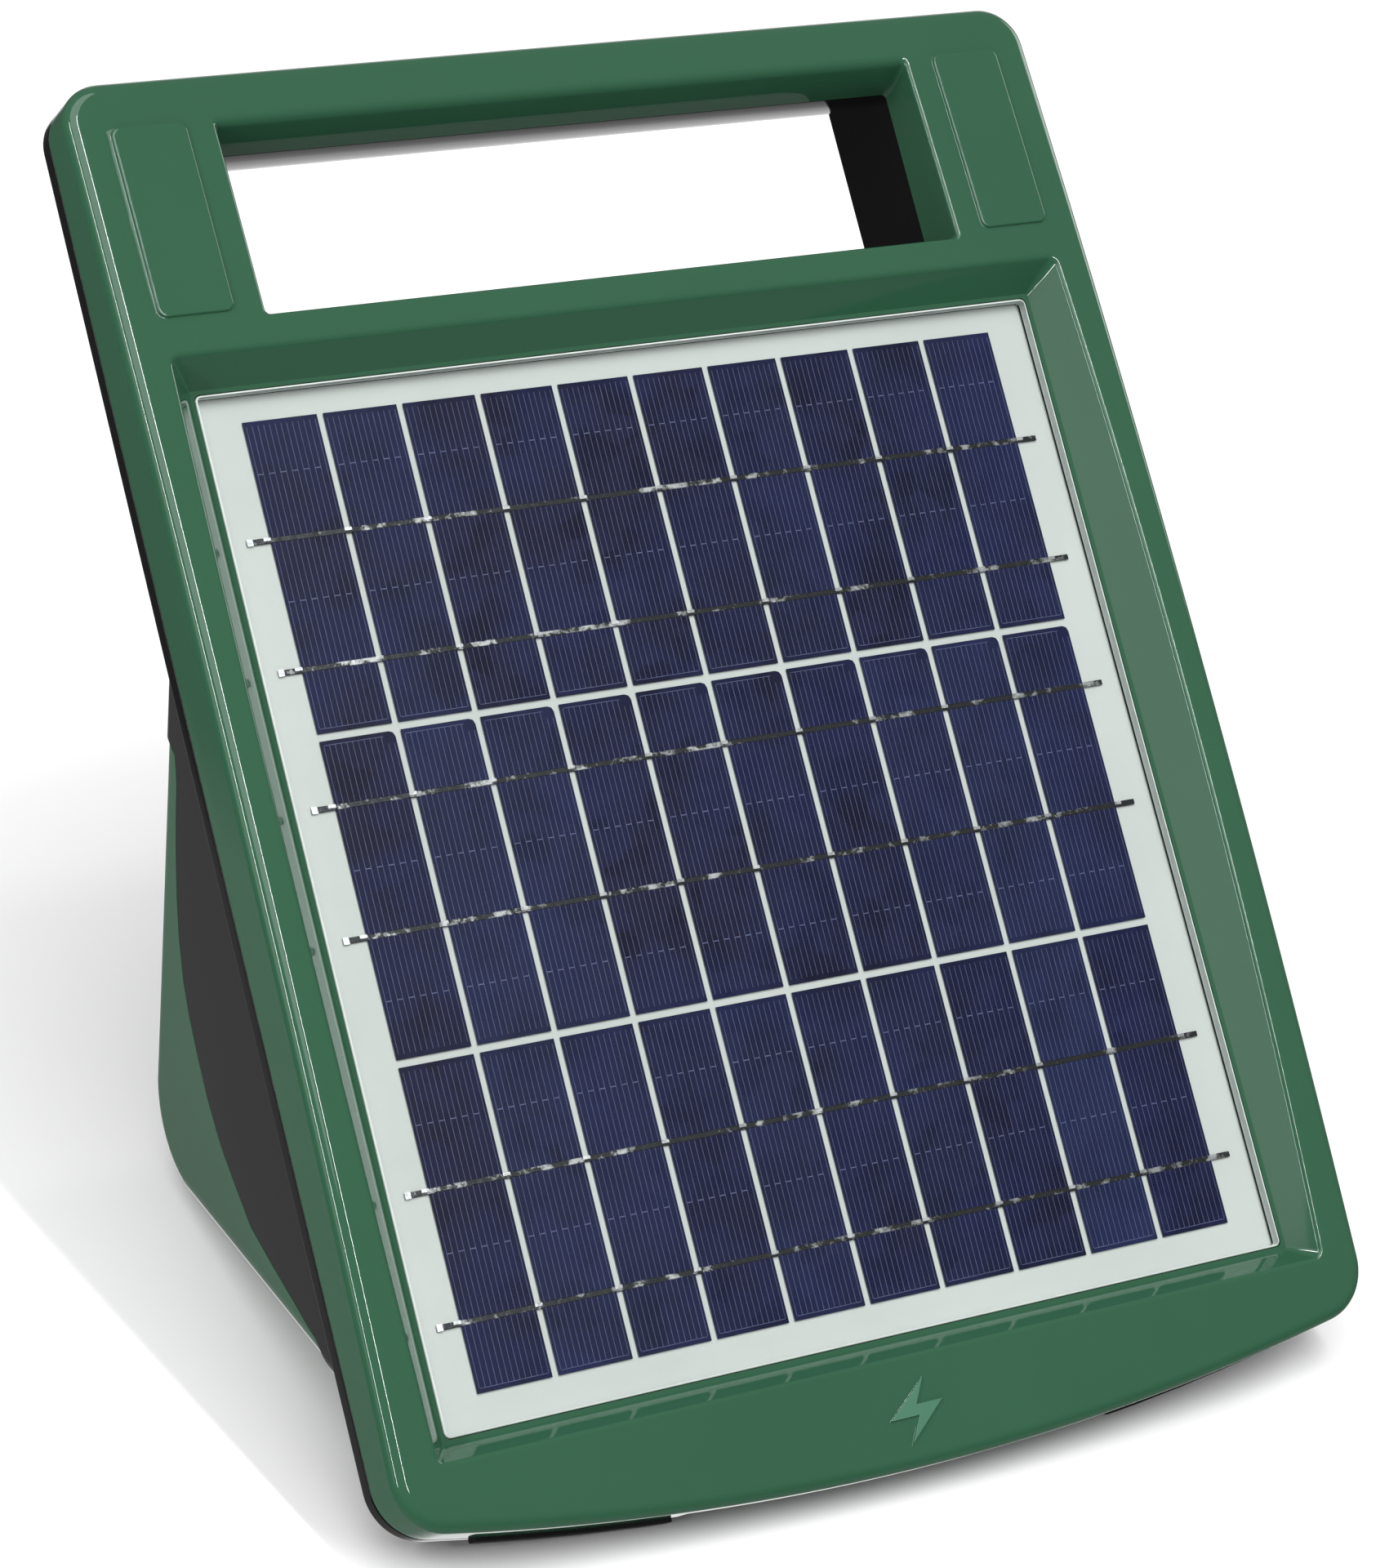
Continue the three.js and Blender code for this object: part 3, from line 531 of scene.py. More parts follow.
def glass_material(name="panel_glass", outer=True):
    """Clear tempered glass: a faint reflection, lets lamps through to the cells. The lower face barely reflects."""
    m = Mat(name)
    t = m.t
    t.nodes.remove(m.b)
    gl = m.node("ShaderNodeBsdfGlossy")
    tr = m.node("ShaderNodeBsdfTransparent")
    tr.inputs["Color"].default_value = (0.985, 0.99, 0.987, 1)
    fr = m.node("ShaderNodeFresnel")
    fr.inputs["IOR"].default_value = 1.22
    mx = m.node("ShaderNodeMixShader")
    m.link(m.span(m.noise(35, 4), 0.3, 0.7, 0.05, 0.13), gl.inputs["Roughness"])
    bump = m.node("ShaderNodeBump")
    bump.inputs["Distance"].default_value = 8e-7
    m.link(m.noise(260, 2), bump.inputs["Height"])
    m.link(bump.outputs["Normal"], gl.inputs["Normal"])
    if outer:
        m.link(fr.outputs["Fac"], mx.inputs[0])
    else:
        mx.inputs[0].default_value = 0.01
        t.nodes.remove(fr)
    m.link(tr.outputs[0], mx.inputs[1])
    m.link(gl.outputs[0], mx.inputs[2])
    m.link(mx.outputs[0], t.nodes["Material Output"].inputs["Surface"])
    return m.m


def lens_material():
    m = Mat("status_lens")
    m.b.inputs["Coat Weight"].default_value = 0.6
    m.b.inputs["Coat Roughness"].default_value = 0.05
    m.link(m.mix(m.span(m.voronoi(900), 0, 0.5, 0, 1), lin((214, 58, 40)), lin((150, 22, 16))), m.b.inputs["Base Color"])
    m.link(m.span(m.noise(300), 0.3, 0.7, 0.12, 0.22), m.b.inputs["Roughness"])
    m.bump([(m.voronoi(900), 2e-5)])
    return m.m


BOARDM, SHEETM, CELLM, GLASSM, LENSM = board_material(), sheet_material(), cell_material(), glass_material(), lens_material()
GLASSLOW = glass_material("panel_glass_lower", False)
RIMM = print_material("ground_glass_edge", (204, 212, 208), (212, 219, 215), (0.35, 0.5), 0.0)
FINGERM = print_material("cell_fingers", (74, 82, 120), (92, 100, 138), (0.45, 0.65), 0.1)


def ribbon_material():
    """Tinned copper ribbon: painted glints, lighter patches painted into the colour where the solder is rippled, dark
    between them.
    """
    m = Mat("cell_ribbon", Metallic=0.85)
    # painted highlight: lighter patches in the base colour stand in for glints of reflected light
    painted_glint = m.span(m.noise(150, 5, None, 0.7), 0.53, 0.62, 0, 1)
    m.link(m.mix(painted_glint, lin((62, 65, 68)), lin((160, 163, 164))), m.b.inputs["Base Color"])
    m.link(m.span(painted_glint, 0, 1, 0.24, 0.4), m.b.inputs["Roughness"])
    m.bump([(m.noise(420, 4), 9e-5), (m.noise(120, 3), 1.2e-4)])
    return m.m


RIBBONM = ribbon_material()
SOLDERM = print_material("solder", (186, 190, 194), (220, 222, 224), (0.2, 0.36), 0.9)

# ---------------------------------------------------------------- front frame
POCKET = dict(u=lambda n: 118.2 + 0.7214 * (n - 2.9), v0=lambda n: -128.9 - 0.6219 * (n - 2.9), v1=lambda n: 127.2 + 0.8109 * (n - 2.9),
              rc=lambda n: 0.8 + 0.22 * max(n - 2.9, 0), slopes=(0.7214, 0.8109, 0.6219))
BAR = ([-5.2, 0.0, 5.0, 9.5, 14.0], [187.7, 188.7, 190.4, 192.0, 193.6])
TUNNEL = dict(u=lambda n: OPEN_U, v0=lambda n: OPEN_V0, v1=lambda n: float(np.interp(n, *BAR)), rc=lambda n: 1.3, slopes=(0.0, 0.355, 0.0))


def loop_params(cs=8, su=26, sv=30):
    """(kind, fraction) round a rounded rectangle: right side, corner, top, corner, left, corner, bottom, corner."""
    out = []
    for side, n in ((0, sv), (1, su), (2, sv), (3, su)):
        out += [("side", side, i / n) for i in range(n)]
        out += [("corner", side, i / cs) for i in range(cs)]
    return out


PARAMS = loop_params()


def loop_point(shape, par, n, inset=0.0):
    kind, side, t = par
    U, V0, V1 = shape["u"](n) - inset, shape["v0"](n) + inset, shape["v1"](n) - inset
    r = max(shape["rc"](n) - inset, 0.3)
    corners = [(U - r, V1 - r), (-U + r, V1 - r), (-U + r, V0 + r), (U - r, V0 + r)]
    if kind == "corner":
        a = math.pi / 2 * (side + t)
        c = corners[side]
        return c[0] + r * math.cos(a), c[1] + r * math.sin(a)
    ends = [((U, V0 + r), (U, V1 - r)), ((U - r, V1), (-U + r, V1)), ((-U, V1 - r), (-U, V0 + r)), ((-U + r, V0), (U - r, V0))][side]
    return ends[0][0] + (ends[1][0] - ends[0][0]) * t, ends[0][1] + (ends[1][1] - ends[0][1]) * t


def slope_at(shape, par, values=None):
    side_m, top_m, bot_m = values or shape["slopes"]
    order = [side_m, top_m, side_m, bot_m]
    kind, side, t = par
    if kind == "side":
        return order[side]
    w = t * t * (3 - 2 * t)
    return order[side] * (1 - w) + order[(side + 1) % 4] * w


def edge_rings(shape, radii, steps=7):
    """Rings of a rounded edge from the crowned face into the wall, and where each ends."""
    rings, ends = [[] for _ in range(steps + 1)], []
    for par in PARAMS:
        n = 11.0
        for _ in range(12):
            n = crown(loop_point(shape, par, n)[1])
        alpha = math.atan2(1, slope_at(shape, par))
        r = slope_at(shape, par, radii)
        T = r * math.tan(alpha / 2)
        for k in range(steps + 1):
            a = alpha * k / steps
            x, y = -T + r * math.sin(a), -r + r * math.cos(a)
            u, v = loop_point(shape, par, n, x)
            rings[k].append((u, v, crown(v) + y))
        ends.append(n - T * math.sin(alpha))
    return rings, ends


def build_front():
    b = Build()
    R = 3.2
    outer = []
    for k in range(11):
        a = math.pi / 2 * k / 10
        d = R * (1 - math.sin(a))
        outer.append([(u, v, crown(v) - R * (1 - math.cos(a))) for u, v in outline(d)])
    walls = [[(u, v, crown(v) - R - (crown(v) - R - (FRAME_BACK + 0.4)) * t) for u, v in outline(0)] for t in (0.33, 0.66, 1.0)]
    rims = [[(u, v, FRAME_BACK + 0.4 * (1 - math.sin(a))) for u, v in outline(0.4 * (1 - math.cos(a)))] for a in (math.pi / 4, math.pi / 2)]
    ids = b.strip(outer + walls + rims)
    face, back = ids[0], ids[-1]
    # pocket
    rings, ends = edge_rings(POCKET, (1.7, 2.4, 1.4))
    for t in (0.33, 0.66, 1.0):
        rings.append([(*loop_point(POCKET, par, e + (3.1 - e) * t), e + (3.1 - e) * t) for par, e in zip(PARAMS, ends)])
    rings.append([(*loop_point(POCKET, par, 2.9), 2.9) for par in PARAMS])
    lip_in = dict(POCKET, u=lambda n: 117.1, v0=lambda n: -127.7, v1=lambda n: 126.1, rc=lambda n: 1.5)
    rings.append([(*loop_point(lip_in, par, 0, -0.08), 2.84) for par in PARAMS])
    rings.append([(*loop_point(lip_in, par, 0), 2.3) for par in PARAMS])
    rings.append([(*loop_point(lip_in, par, 0), -2.0) for par in PARAMS])
    window = dict(POCKET, u=lambda n: 103.0, v0=lambda n: -113.0, v1=lambda n: 111.0, rc=lambda n: 3.0)
    rings.append([(*loop_point(window, par, 0), -2.0) for par in PARAMS])
    rings.append([(*loop_point(window, par, 0), FRAME_BACK) for par in PARAMS])
    pocket = b.strip(rings)
    # handle opening
    rings, ends = edge_rings(TUNNEL, (1.2, 3.4, 1.3))
    for t in np.linspace(0, 1, 9)[1:]:
        rings.append([(*loop_point(TUNNEL, par, e + (FRAME_BACK - e) * t), e + (FRAME_BACK - e) * t) for par, e in zip(PARAMS, ends)])
    tunnel = b.strip(rings)
    # raised pads and emblem
    holes = [pocket[0], tunnel[0]]

    def raised(pts, height, fillet, foot):
        """A raised plate on the crown: pts(inset) gives its outline."""
        rr = [[(u, v, crown(v)) for u, v in pts(-foot)]]
        rr.append([(u, v, crown(v) + foot * 0.25) for u, v in pts(-foot * 0.3)])
        for k in range(5):
            a = math.pi / 2 * k / 4
            rr.append([(u, v, crown(v) + height - fillet * (1 - math.sin(a))) for u, v in pts(fillet * (1 - math.cos(a)))])
        ring_ids = b.strip(rr)
        b.fill(ring_ids[-1], extra=grid_in(pts(fillet + 1.2), 5, height))
        holes.append(ring_ids[0])

    def grid_in(poly, step, height, avoid=()):
        us, vs = [p[0] for p in poly], [p[1] for p in poly]
        pts = []
        v = math.ceil(min(vs) / step) * step
        while v < max(vs):
            u = math.ceil(min(us) / step) * step
            while u < max(us):
                if inside_poly(u, v, poly) and not any(inside_poly(u, v, h) for h in avoid):
                    pts.append((u, v, crown(v) + height))
                u += step
            v += step
        return b.ring(pts)

    def pad(s):
        def pts(i):
            r = max(2.2 - i, 0.4)
            u0, u1, v0, v1 = 105 + i, 124.5 - i, 143.5 + i, 192.5 - i
            ps = arc(u1 - r, v0 + r, r, -math.pi / 2, 0, 6) + line((u1, v0 + r), (u1, v1 - r), 8)[1:] + arc(u1 - r, v1 - r, r, 0, math.pi / 2, 6)
            ps += line((u1 - r, v1), (u0 + r, v1), 4)[1:] + arc(u0 + r, v1 - r, r, math.pi / 2, math.pi, 6) + line((u0, v1 - r), (u0, v0 + r), 8)[1:]
            ps += arc(u0 + r, v0 + r, r, math.pi, 1.5 * math.pi, 6) + line((u0 + r, v0), (u1 - r, v0), 4)[1:]
            return [(s * u, v) for u, v in ps]
        return pts

    for s in (-1, 1):
        raised(pad(s), 0.8, 0.5, 0.25)
    bolt = [(x * 1.1, y * 1.05 - 146.4) for x, y in ((-6.5, -1.2), (0.6, -1.2), (-2.4, -7.2), (7.2, 1.4), (0.6, 1.4), (3.4, 7))]

    def bolt_pts(i):
        n = len(bolt)
        lines = []
        for k in range(n):
            p, q = Vector(bolt[k]), Vector(bolt[(k + 1) % n])
            d = (q - p).normalized()
            lines.append((p + Vector((-d.y, d.x)) * i, d))
        out = []
        for k in range(n):
            (p, d), (q, e) = lines[k - 1], lines[k]
            t = (q - p).cross(e) / d.cross(e)
            out.append(tuple(p + d * t))
        return out

    raised(bolt_pts, 0.6, 0.2, 0.12)
    hole_polys = [[(b.v[i][0], b.v[i][1]) for i in h] for h in holes]
    grown = []
    for poly in hole_polys:
        c = (sum(p[0] for p in poly) / len(poly), sum(p[1] for p in poly) / len(poly))
        grown.append([(p[0] + 1.2 * (1 if p[0] > c[0] else -1), p[1] + 1.2 * (1 if p[1] > c[1] else -1)) for p in poly])
    extra = grid_in(outline(R + 1.5), 6, 0.0, grown)
    b.fill(face, holes, extra=extra)
    b.fill(back, [pocket[-1], tunnel[-1]])
    o = b.obj("front_bezel")
    return cut(o, block(-61, 61, -175, -151.5, -9, 1)), bolt


bezel, EMBLEM_POLY = build_front()
smooth(bezel, 34)
place(bezel, "front_bezel", "energizer", "green_plastic", "front_frame", GREEN, EMBLEM)
for p in bezel.data.polygons:
    v, n = to_panel(p.center.y * 1000 - OY, p.center.z * 1000 - FZ)
    if v < -135 and n > crown(v) + 0.5 and inside_poly(p.center.x * 1000 - OX, v, EMBLEM_POLY):
        p.material_index = 1

# ---------------------------------------------------------------- solar laminate
RIBBON_ROWS = [(0.38, 0.796), (0.207, 0.617), (0.381, 0.785)]
DASH_ROWS = [(0.17, 0.58), (0.41, 0.82), (0.18, 0.575)]


def slab(b, u0, u1, v0, v1, n0, n1):
    i = b.ring([(u0, v0, n0), (u1, v0, n0), (u1, v1, n0), (u0, v1, n0)])
    j = b.ring([(u0, v0, n1), (u1, v0, n1), (u1, v1, n1), (u0, v1, n1)])
    b.bridge(i, j)
    b.f += [tuple(reversed(i)), tuple(j)]


for r, label in enumerate(("top", "middle", "bottom")):
    mid = (1 - r) * ROW_PITCH
    hi = mid + CELL_H / 2
    lo = mid - CELL_H / 2
    cells, tints = Build(), []
    fingers, ribbons, solder = Build(), Build(), Build()
    for c in range(10):
        x = (c - 4.5) * CELL_PITCH
        l, rgt = x - CELL_W / 2, x + CELL_W / 2
        pts = [(l, lo), (rgt, lo), (rgt, hi), (l, hi)]
        if r == 1:
            pts = [(l, lo), (rgt, lo), (rgt, hi - 1.5), (rgt - 0.45, hi - 0.45), (rgt - 1.5, hi), (l, hi)]
        before = len(cells.v)
        a = cells.ring([(u, v, -0.22) for u, v in pts])
        d = cells.ring([(u, v, -0.05) for u, v in pts])
        inner = cells.ring([(x + (u - x) * 0.992, mid + (v - mid) * 0.998, -0.02) for u, v in pts])
        cells.bridge(a, d)
        cells.bridge(d, inner)
        cells.f += [tuple(reversed(a)), tuple(inner)]
        tints += [random.choice((0.0, 0.0, 0.06, 0.15, 0.3, 0.5)) * random.uniform(0.7, 1.2)] * (len(cells.v) - before)
        for k in range(13):
            fx = l + CELL_W * (k + 0.5) / 13
            slab(fingers, fx - 0.055, fx + 0.055, lo + 1.2, hi - (3.0 if r == 1 and k > 10 else 1.2), -0.03, 0.0)
        edge = lo + 1.1 if r != 1 else hi - 1.1
        slab(fingers, l + 0.9, rgt - (0.9 if r != 1 else 3.2), edge - 0.06, edge + 0.06, -0.03, 0.0)
        for f in DASH_ROWS[r]:
            v = hi - f * CELL_H
            for k in range(0, 12, 2):
                fx = l + CELL_W * (k + 0.5) / 13
                slab(fingers, fx, fx + CELL_W / 13, v - 0.12, v + 0.12, -0.03, 0.0)
    for f in RIBBON_ROWS[r]:
        v = hi - f * CELL_H
        seg, prev = 60, None
        for i in range(seg + 1):
            u = -111 + 222 * i / seg
            w = RIBBON / 2 * (1 + 0.03 * math.sin(i * 1.7 + r))
            ring = ribbons.ring([(u, v - w, -0.02), (u, v - w * 0.8, 0.06), (u, v + w * 0.8, 0.06), (u, v + w, -0.02)])
            if prev:
                ribbons.bridge(prev, ring)
            else:
                ribbons.f.append(tuple(reversed(ring)))
            prev = ring
        ribbons.f.append(tuple(prev))
        for c in range(11):
            u = (c - 5) * CELL_PITCH
            slab(solder, u - 0.95, u + 0.95, v - 0.05, v + RIBBON / 2 + 0.02, 0.03, 0.09)
        slab(solder, -111.4, -109.9, v - 0.85, v + 0.85, -0.02, 0.1)
    o = cells.obj("cells_" + label)
    att = o.data.attributes.new("tint", "FLOAT", "POINT")
    if len(o.data.vertices) == len(tints):
        att.data.foreach_set("value", np.array(tints, np.float32))
    place(o, "cells_" + label, "energizer", "solar_cell", "cell_string_" + label, CELLM)
    place(fingers.obj("f"), "cell_fingers_" + label, "energizer", "solar_cell", None, FINGERM)
    place(ribbons.obj("r"), "cell_ribbons_" + label, "energizer", "steel", None, RIBBONM)
    place(solder.obj("s"), "cell_solder_" + label, "energizer", "steel", None, SOLDERM)


def glass_pane():
    b = Build()
    rings = []

    def rect(i, n):
        r = 1.6 - min(i, 1.2)
        u, v0, v1 = 117 - i, -127.6 + i, 126 - i
        return [(x, y, n) for x, y in arc(u - r, v0 + r, r, -math.pi / 2, 0, 5) + arc(u - r, v1 - r, r, 0, math.pi / 2, 5)
                + arc(-u + r, v1 - r, r, math.pi / 2, math.pi, 5) + arc(-u + r, v0 + r, r, math.pi, 1.5 * math.pi, 5)]
    for i, n in ((0.5, 0.3), (0.15, 0.42), (0, 0.75), (0, 2.45), (0.15, 2.78), (0.5, 2.9)):
        rings.append(rect(i, n))
    ids = b.strip(rings)
    b.fill(ids[0])
    b.fill(ids[-1])
    return b.obj("cover_glass")


pane = place(smooth(glass_pane(), 50), "cover_glass", "energizer", "glass", "solar_glass", GLASSM, RIMM, GLASSLOW)
facing = D((0, 0, 1))
for p in pane.data.polygons:
    lit = p.normal.dot(facing)
    p.material_index = 0 if lit > 0.97 else 2 if lit < -0.97 else 1

# ---------------------------------------------------------------- rear shell and cover
def bottom_line(n):
    return (-BOTTOM_REACH - n) / BOTTOM_SLOPE


PARTING = [(bottom_line(-23.4), -23.4), (-96.5, -28.8), (-87.4, -37), (-75.5, -48.1), (-64.2, -58), (-53.2, -62.6), (-42.3, -66.6),
           (-31, -68.3), (-21.4, -68.2), (-10, -67.3), (-1.1, -65.2), (8, -61), (17.4, -55), (26, -48.2), (34.7, -40.6), (41, -34.4), (47.5, -30.2), (57, BODY_BACK)]


def shifted(pts, d):
    nr = []
    for a, p in zip(pts, pts[1:]):
        l = math.hypot(p[0] - a[0], p[1] - a[1])
        nr.append(((p[1] - a[1]) / l, (a[0] - p[0]) / l))
    out = []
    for i, p in enumerate(pts):
        n1, n2 = nr[max(i - 1, 0)], nr[min(i, len(nr) - 1)]
        m = (n1[0] + n2[0], n1[1] + n2[1])
        k = 2 * d / (m[0] ** 2 + m[1] ** 2)
        out.append((p[0] + m[0] * k, p[1] + m[1] * k))
    return out


def offset_side(d, n):
    return SIDE_U - d + DRAFT * (n + 10)


def drafted(d):
    return prism([(-offset_side(d, -150), -150), (offset_side(d, -150), -150), (offset_side(d, 12), 12), (-offset_side(d, 12), 12)], -170, 230, "v")


def housing_pts(d, seg=24):
    nb, up = (S, -K), (K, S)
    r, bl = ARC_R - d, math.hypot(BOTTOM_SLOPE, 1)
    nbot = (-BOTTOM_SLOPE / bl, -1 / bl)
    pts = arc(ARC_V, ARC_N, r, math.atan2(nbot[1], nbot[0]), math.atan2(nb[1], nb[0]), seg)
    t0, t1 = pts[0], pts[-1]
    db = (-1 / bl, BOTTOM_SLOPE / bl)
    a, z = (t0[0] + db[0] * 140, t0[1] + db[1] * 140), (t1[0] + up[0] * 130, t1[1] + up[1] * 130)
    return [a, *pts, z]


def rounded_housing(R, steps=8):
    """The housing with its side edges rounded by R: profiles moved inwards towards each side plane."""
    b = Build()
    rings = []
    for side, seq in ((-1, range(steps + 1)), (1, range(steps, -1, -1))):
        for k in seq:
            a = math.pi / 2 * k / steps
            d = R * (1 - math.cos(math.pi / 2 - a))
            pts = housing_pts(d)
            pts = pts + [(pts[-1][0], 60), (pts[0][0], 60)]
            rings.append([(side * (offset_side(0, n) - R * (1 - math.cos(a))), v, n) for v, n in pts])
    ids = b.strip(rings)
    b.fill(ids[0], axes=(1, 2))
    b.fill(ids[-1], axes=(1, 2))
    return b.obj("housing")


def plain_housing(d):
    p = housing_pts(d)
    o = prism([*p, (p[-1][0], 60), (p[0][0], 60)], -140, 140, "u")
    return meet(o, drafted(d))


def shell_body(R=5.0, steps=6):
    """Upper body behind the flange: follows the outline, drafted sides, rounded back edge."""
    b = Build()

    def ring(n, d):
        k = (UPPER_U - d) / (HALF_W - 4.0 - d)
        return [(u * k, v, n) for u, v in outline(4.0 + d)]
    rings = [ring(-8.0, 0), ring(-20.0, 0)]
    for i in range(steps + 1):
        a = math.pi / 2 * i / steps
        rings.append(ring(BODY_BACK + R * (1 - math.sin(a)), R * (1 - math.cos(a))))
    ids = b.strip(rings)
    b.fill(ids[0])
    b.fill(ids[-1])
    return b.obj("upper")


def flange():
    b = Build()
    rings = []
    for k in range(4):
        a = math.pi / 2 * k / 3
        rings.append([(u, v, FLANGE_FRONT - 0.4 * (1 - math.sin(math.pi / 2 - a))) for u, v in outline(0.4 * (1 - math.sin(a)))])
    for k in range(6):
        a = math.pi / 2 * k / 5
        rings.append([(u, v, FLANGE_BACK + 1.1 * (1 - math.sin(a))) for u, v in outline(1.1 * (1 - math.cos(a)))])
    ids = b.strip(rings)
    b.fill(ids[0])
    b.fill(ids[-1])
    return b.obj("flange")


def plane_n(v):
    """Depth of the housing's back wall plane at v."""
    return -36.6 + (v - 57.4) * S / K


def build_shell():
    up = [(57.0, BODY_BACK - 20), (230, BODY_BACK - 20), (230, 0), (57.0, 0)]
    upper = shell_body()
    low_zone = prism([(bottom_line(-8), -8), *PARTING, (90, BODY_BACK), (90, -8)], -140, 140, "u")
    cheeks = meet(meet(rounded_housing(7.0), low_zone), prism(outline(4), -140, -8, "n"))
    upper = meet(upper, prism(up, -150, 150, "u"))
    shell = join(flange(), upper, cheeks)
    inside = meet(meet(prism([(-115.6, -4), (-112.6, PARTITION_N), (43.4, PARTITION_N), (60.6, -33.5), (197.4, -33.5), (197.4, -4)], -140, 140, "u"),
                       drafted(2.8)), prism(outline(7), -140, 0, "n"))
    cut(inside, prism([(139.6, 0), (140.6, -40), (210, -40), (210, 0)], -100.4, 100.4, "u"))
    for s in (-1, 1):
        poly = [(50, -46), (50, plane_n(50) + 4.07), (78.2, plane_n(78.2) + 4.07), (78.2, 1), (215, 1), (215, -46)]
        cut(inside, prism(poly, min(s * (UPPER_U - 2.8), s * 150), max(s * (UPPER_U - 2.8), s * 150), "u"))
    for u, v in SCREWS_TOP:
        cut(inside, rod((u, v, 0), (0, 0, 1), -40, 0, 6.2))
    for u in (-90, 90):
        for v in (68, 131):
            cut(inside, rod((u, v, 0), (0, 0, 1), -40, -31.3, 3.4))
    cut(shell, inside)
    # tunnel behind the handle opening, with the curved back of the handle
    curve = [(188.1, 0), (187.7, -5), (187.65, -9), (187.9, -13), (188.6, -18), (189.8, -22.5), (191.4, -26.5), (193.5, -30), (196, -33.2), (198.6, -36)]
    t = prism([(142.5, 2), (142.6, 0), (143.4, -50), (203, -50), (201, -38.4), *reversed(curve), (188.1, 2)], -OPEN_U - 0.6, OPEN_U + 0.6, "u")
    cut(shell, t)
    cut(shell, prism([(190.9, 0), (190.6, -12), (191.4, -18), (193.6, -24), (196.4, -28.4), (198.4, -29.4), (198.4, 0)], -95, 95, "u"))
    pn = PARTITION_N - PARTITION_T
    lip = lambda n: bottom_line(n) + 3.06
    cut(shell, meet(prism([(lip(pn), pn), (lip(-32), -32), (lip(-32), -150), (150, -150), (150, -123.1), (57.4, -36.4), (38.2, pn)], -140, 140, "u"), drafted(SHELL_WALL)))
    cut(shell, block(48, 72, -113, -103, -20, -14), block(-72, -48, -113, -103, -20, -14))
    cut(shell, rod((-40, 24, -17), (0, 0, 1), -4, 4, 6), rod((110, 22, -17), (0, 0, 1), -4, 4, 6))
    for s in (-1, 1):
        join(shell, block(min(s * 30, s * 76), max(s * 30, s * 76), -63.2, -60.6, -38, pn + 0.5))
        join(shell, block(min(s * 50, s * 76), max(s * 50, s * 76), 6.6, 9, -30, pn + 0.5))
    for s in (-1, 1):
        p = (s * COVER_SCREW_U, SCREW_V, SCREW_N)
        join(shell, rod(p, (0, -S, K), 8, 34, 4.5))
        cut(shell, rod(p, (0, -S, K), 7, 24, 1.9, 20))
    for u, v in SCREWS_TOP:
        cut(shell, rod((u, v, 0), (0, 0, 1), -50, -12, 4.2), rod((u, v, 0), (0, 0, 1), -13, 0, 1.9, 20))
    for u, v in SCREWS_BOTTOM:
        cut(shell, rod((u, v, 0), (0, 0, 1), -20, 0, 1.9, 20))
    for v, r in ((SWITCH_V, 14), (FENCE_V, 12.5), (EARTH_V, 12.5)):
        join(shell, turned((0, v, CONTROL_N), (1, 0, 0), [(0, 127.4), (r, 127.4), (r, BOSS_U - 0.4), (r - 0.12, BOSS_U - 0.12), (r - 0.4, BOSS_U), (0, BOSS_U)], 56))
        cut(shell, rod((0, v, CONTROL_N), (1, 0, 0), 110, 140, 3.4))
    cut(shell, rod((0, LED_V, LED_N), (1, 0, 0), 110, 140, 3.2))
    for s in (-1, 1):
        zone = block(min(s * 61.6, s * 112.4), max(s * 61.6, s * 112.4), -170, -140, -20, -5.0)
        cut(shell, cut(zone, prism(outline(1.45), -30, 5, "n")))
    cut(shell, block(-61.6, 61.6, -170, -152.5, -20, 0))
    for v in (16.5, -71.5):
        cut(shell, rod((0, v, 0), (0, 0, 1), -30, 0, 2.1, 20))
    return shell


BACK_Y = -(ARC_N * K) + ARC_V * S + ARC_R
SCREW_V, SCREW_N = to_panel(BACK_Y, SCREW_Z)


def build_cover():
    line_cut = shifted(PARTING, GAP)
    c0, c1 = line_cut[0], line_cut[-1]
    dark = prism([(-160, c0[1]), *line_cut, (c1[0], -80), (160, -80), (160, 80), (-160, 80)], -150, 150, "u")
    cover = cut(rounded_housing(9.0), plain_housing(SHELL_WALL))
    cut(cover, dark)
    at = lambda s, z: (c0[0] - S * s + K * z, c0[1] + K * s + S * z)
    tab = [at(-12, -0.4), at(-4.6, 0.9), at(-4.6, 4.5), at(6, 4.5), at(6, 6.5), at(-12, 6.5)]
    for s in (-1, 1):
        join(cover, prism(list(reversed(tab)), s * 60 - 9, s * 60 + 9, "u"))
    for s in (-1, 1):
        p = (s * COVER_SCREW_U, SCREW_V, SCREW_N)
        join(cover, rod(p, (0, -S, K), 0.2, 6.6, 6.2, 40))
        cut(cover, rod(p, (0, -S, K), -4, 3.2, 5, 40), rod(p, (0, -S, K), 0, 12, 2.2, 24))
    return cover


place(edged(build_shell(), 0.4, 40), "shell_moulding", "energizer", "dark_plastic", "rear_shell", DARKM)
place(edged(build_cover(), 0.45, 40), "cover_moulding", "cover", "green_plastic", "rear_cover", GREEN)

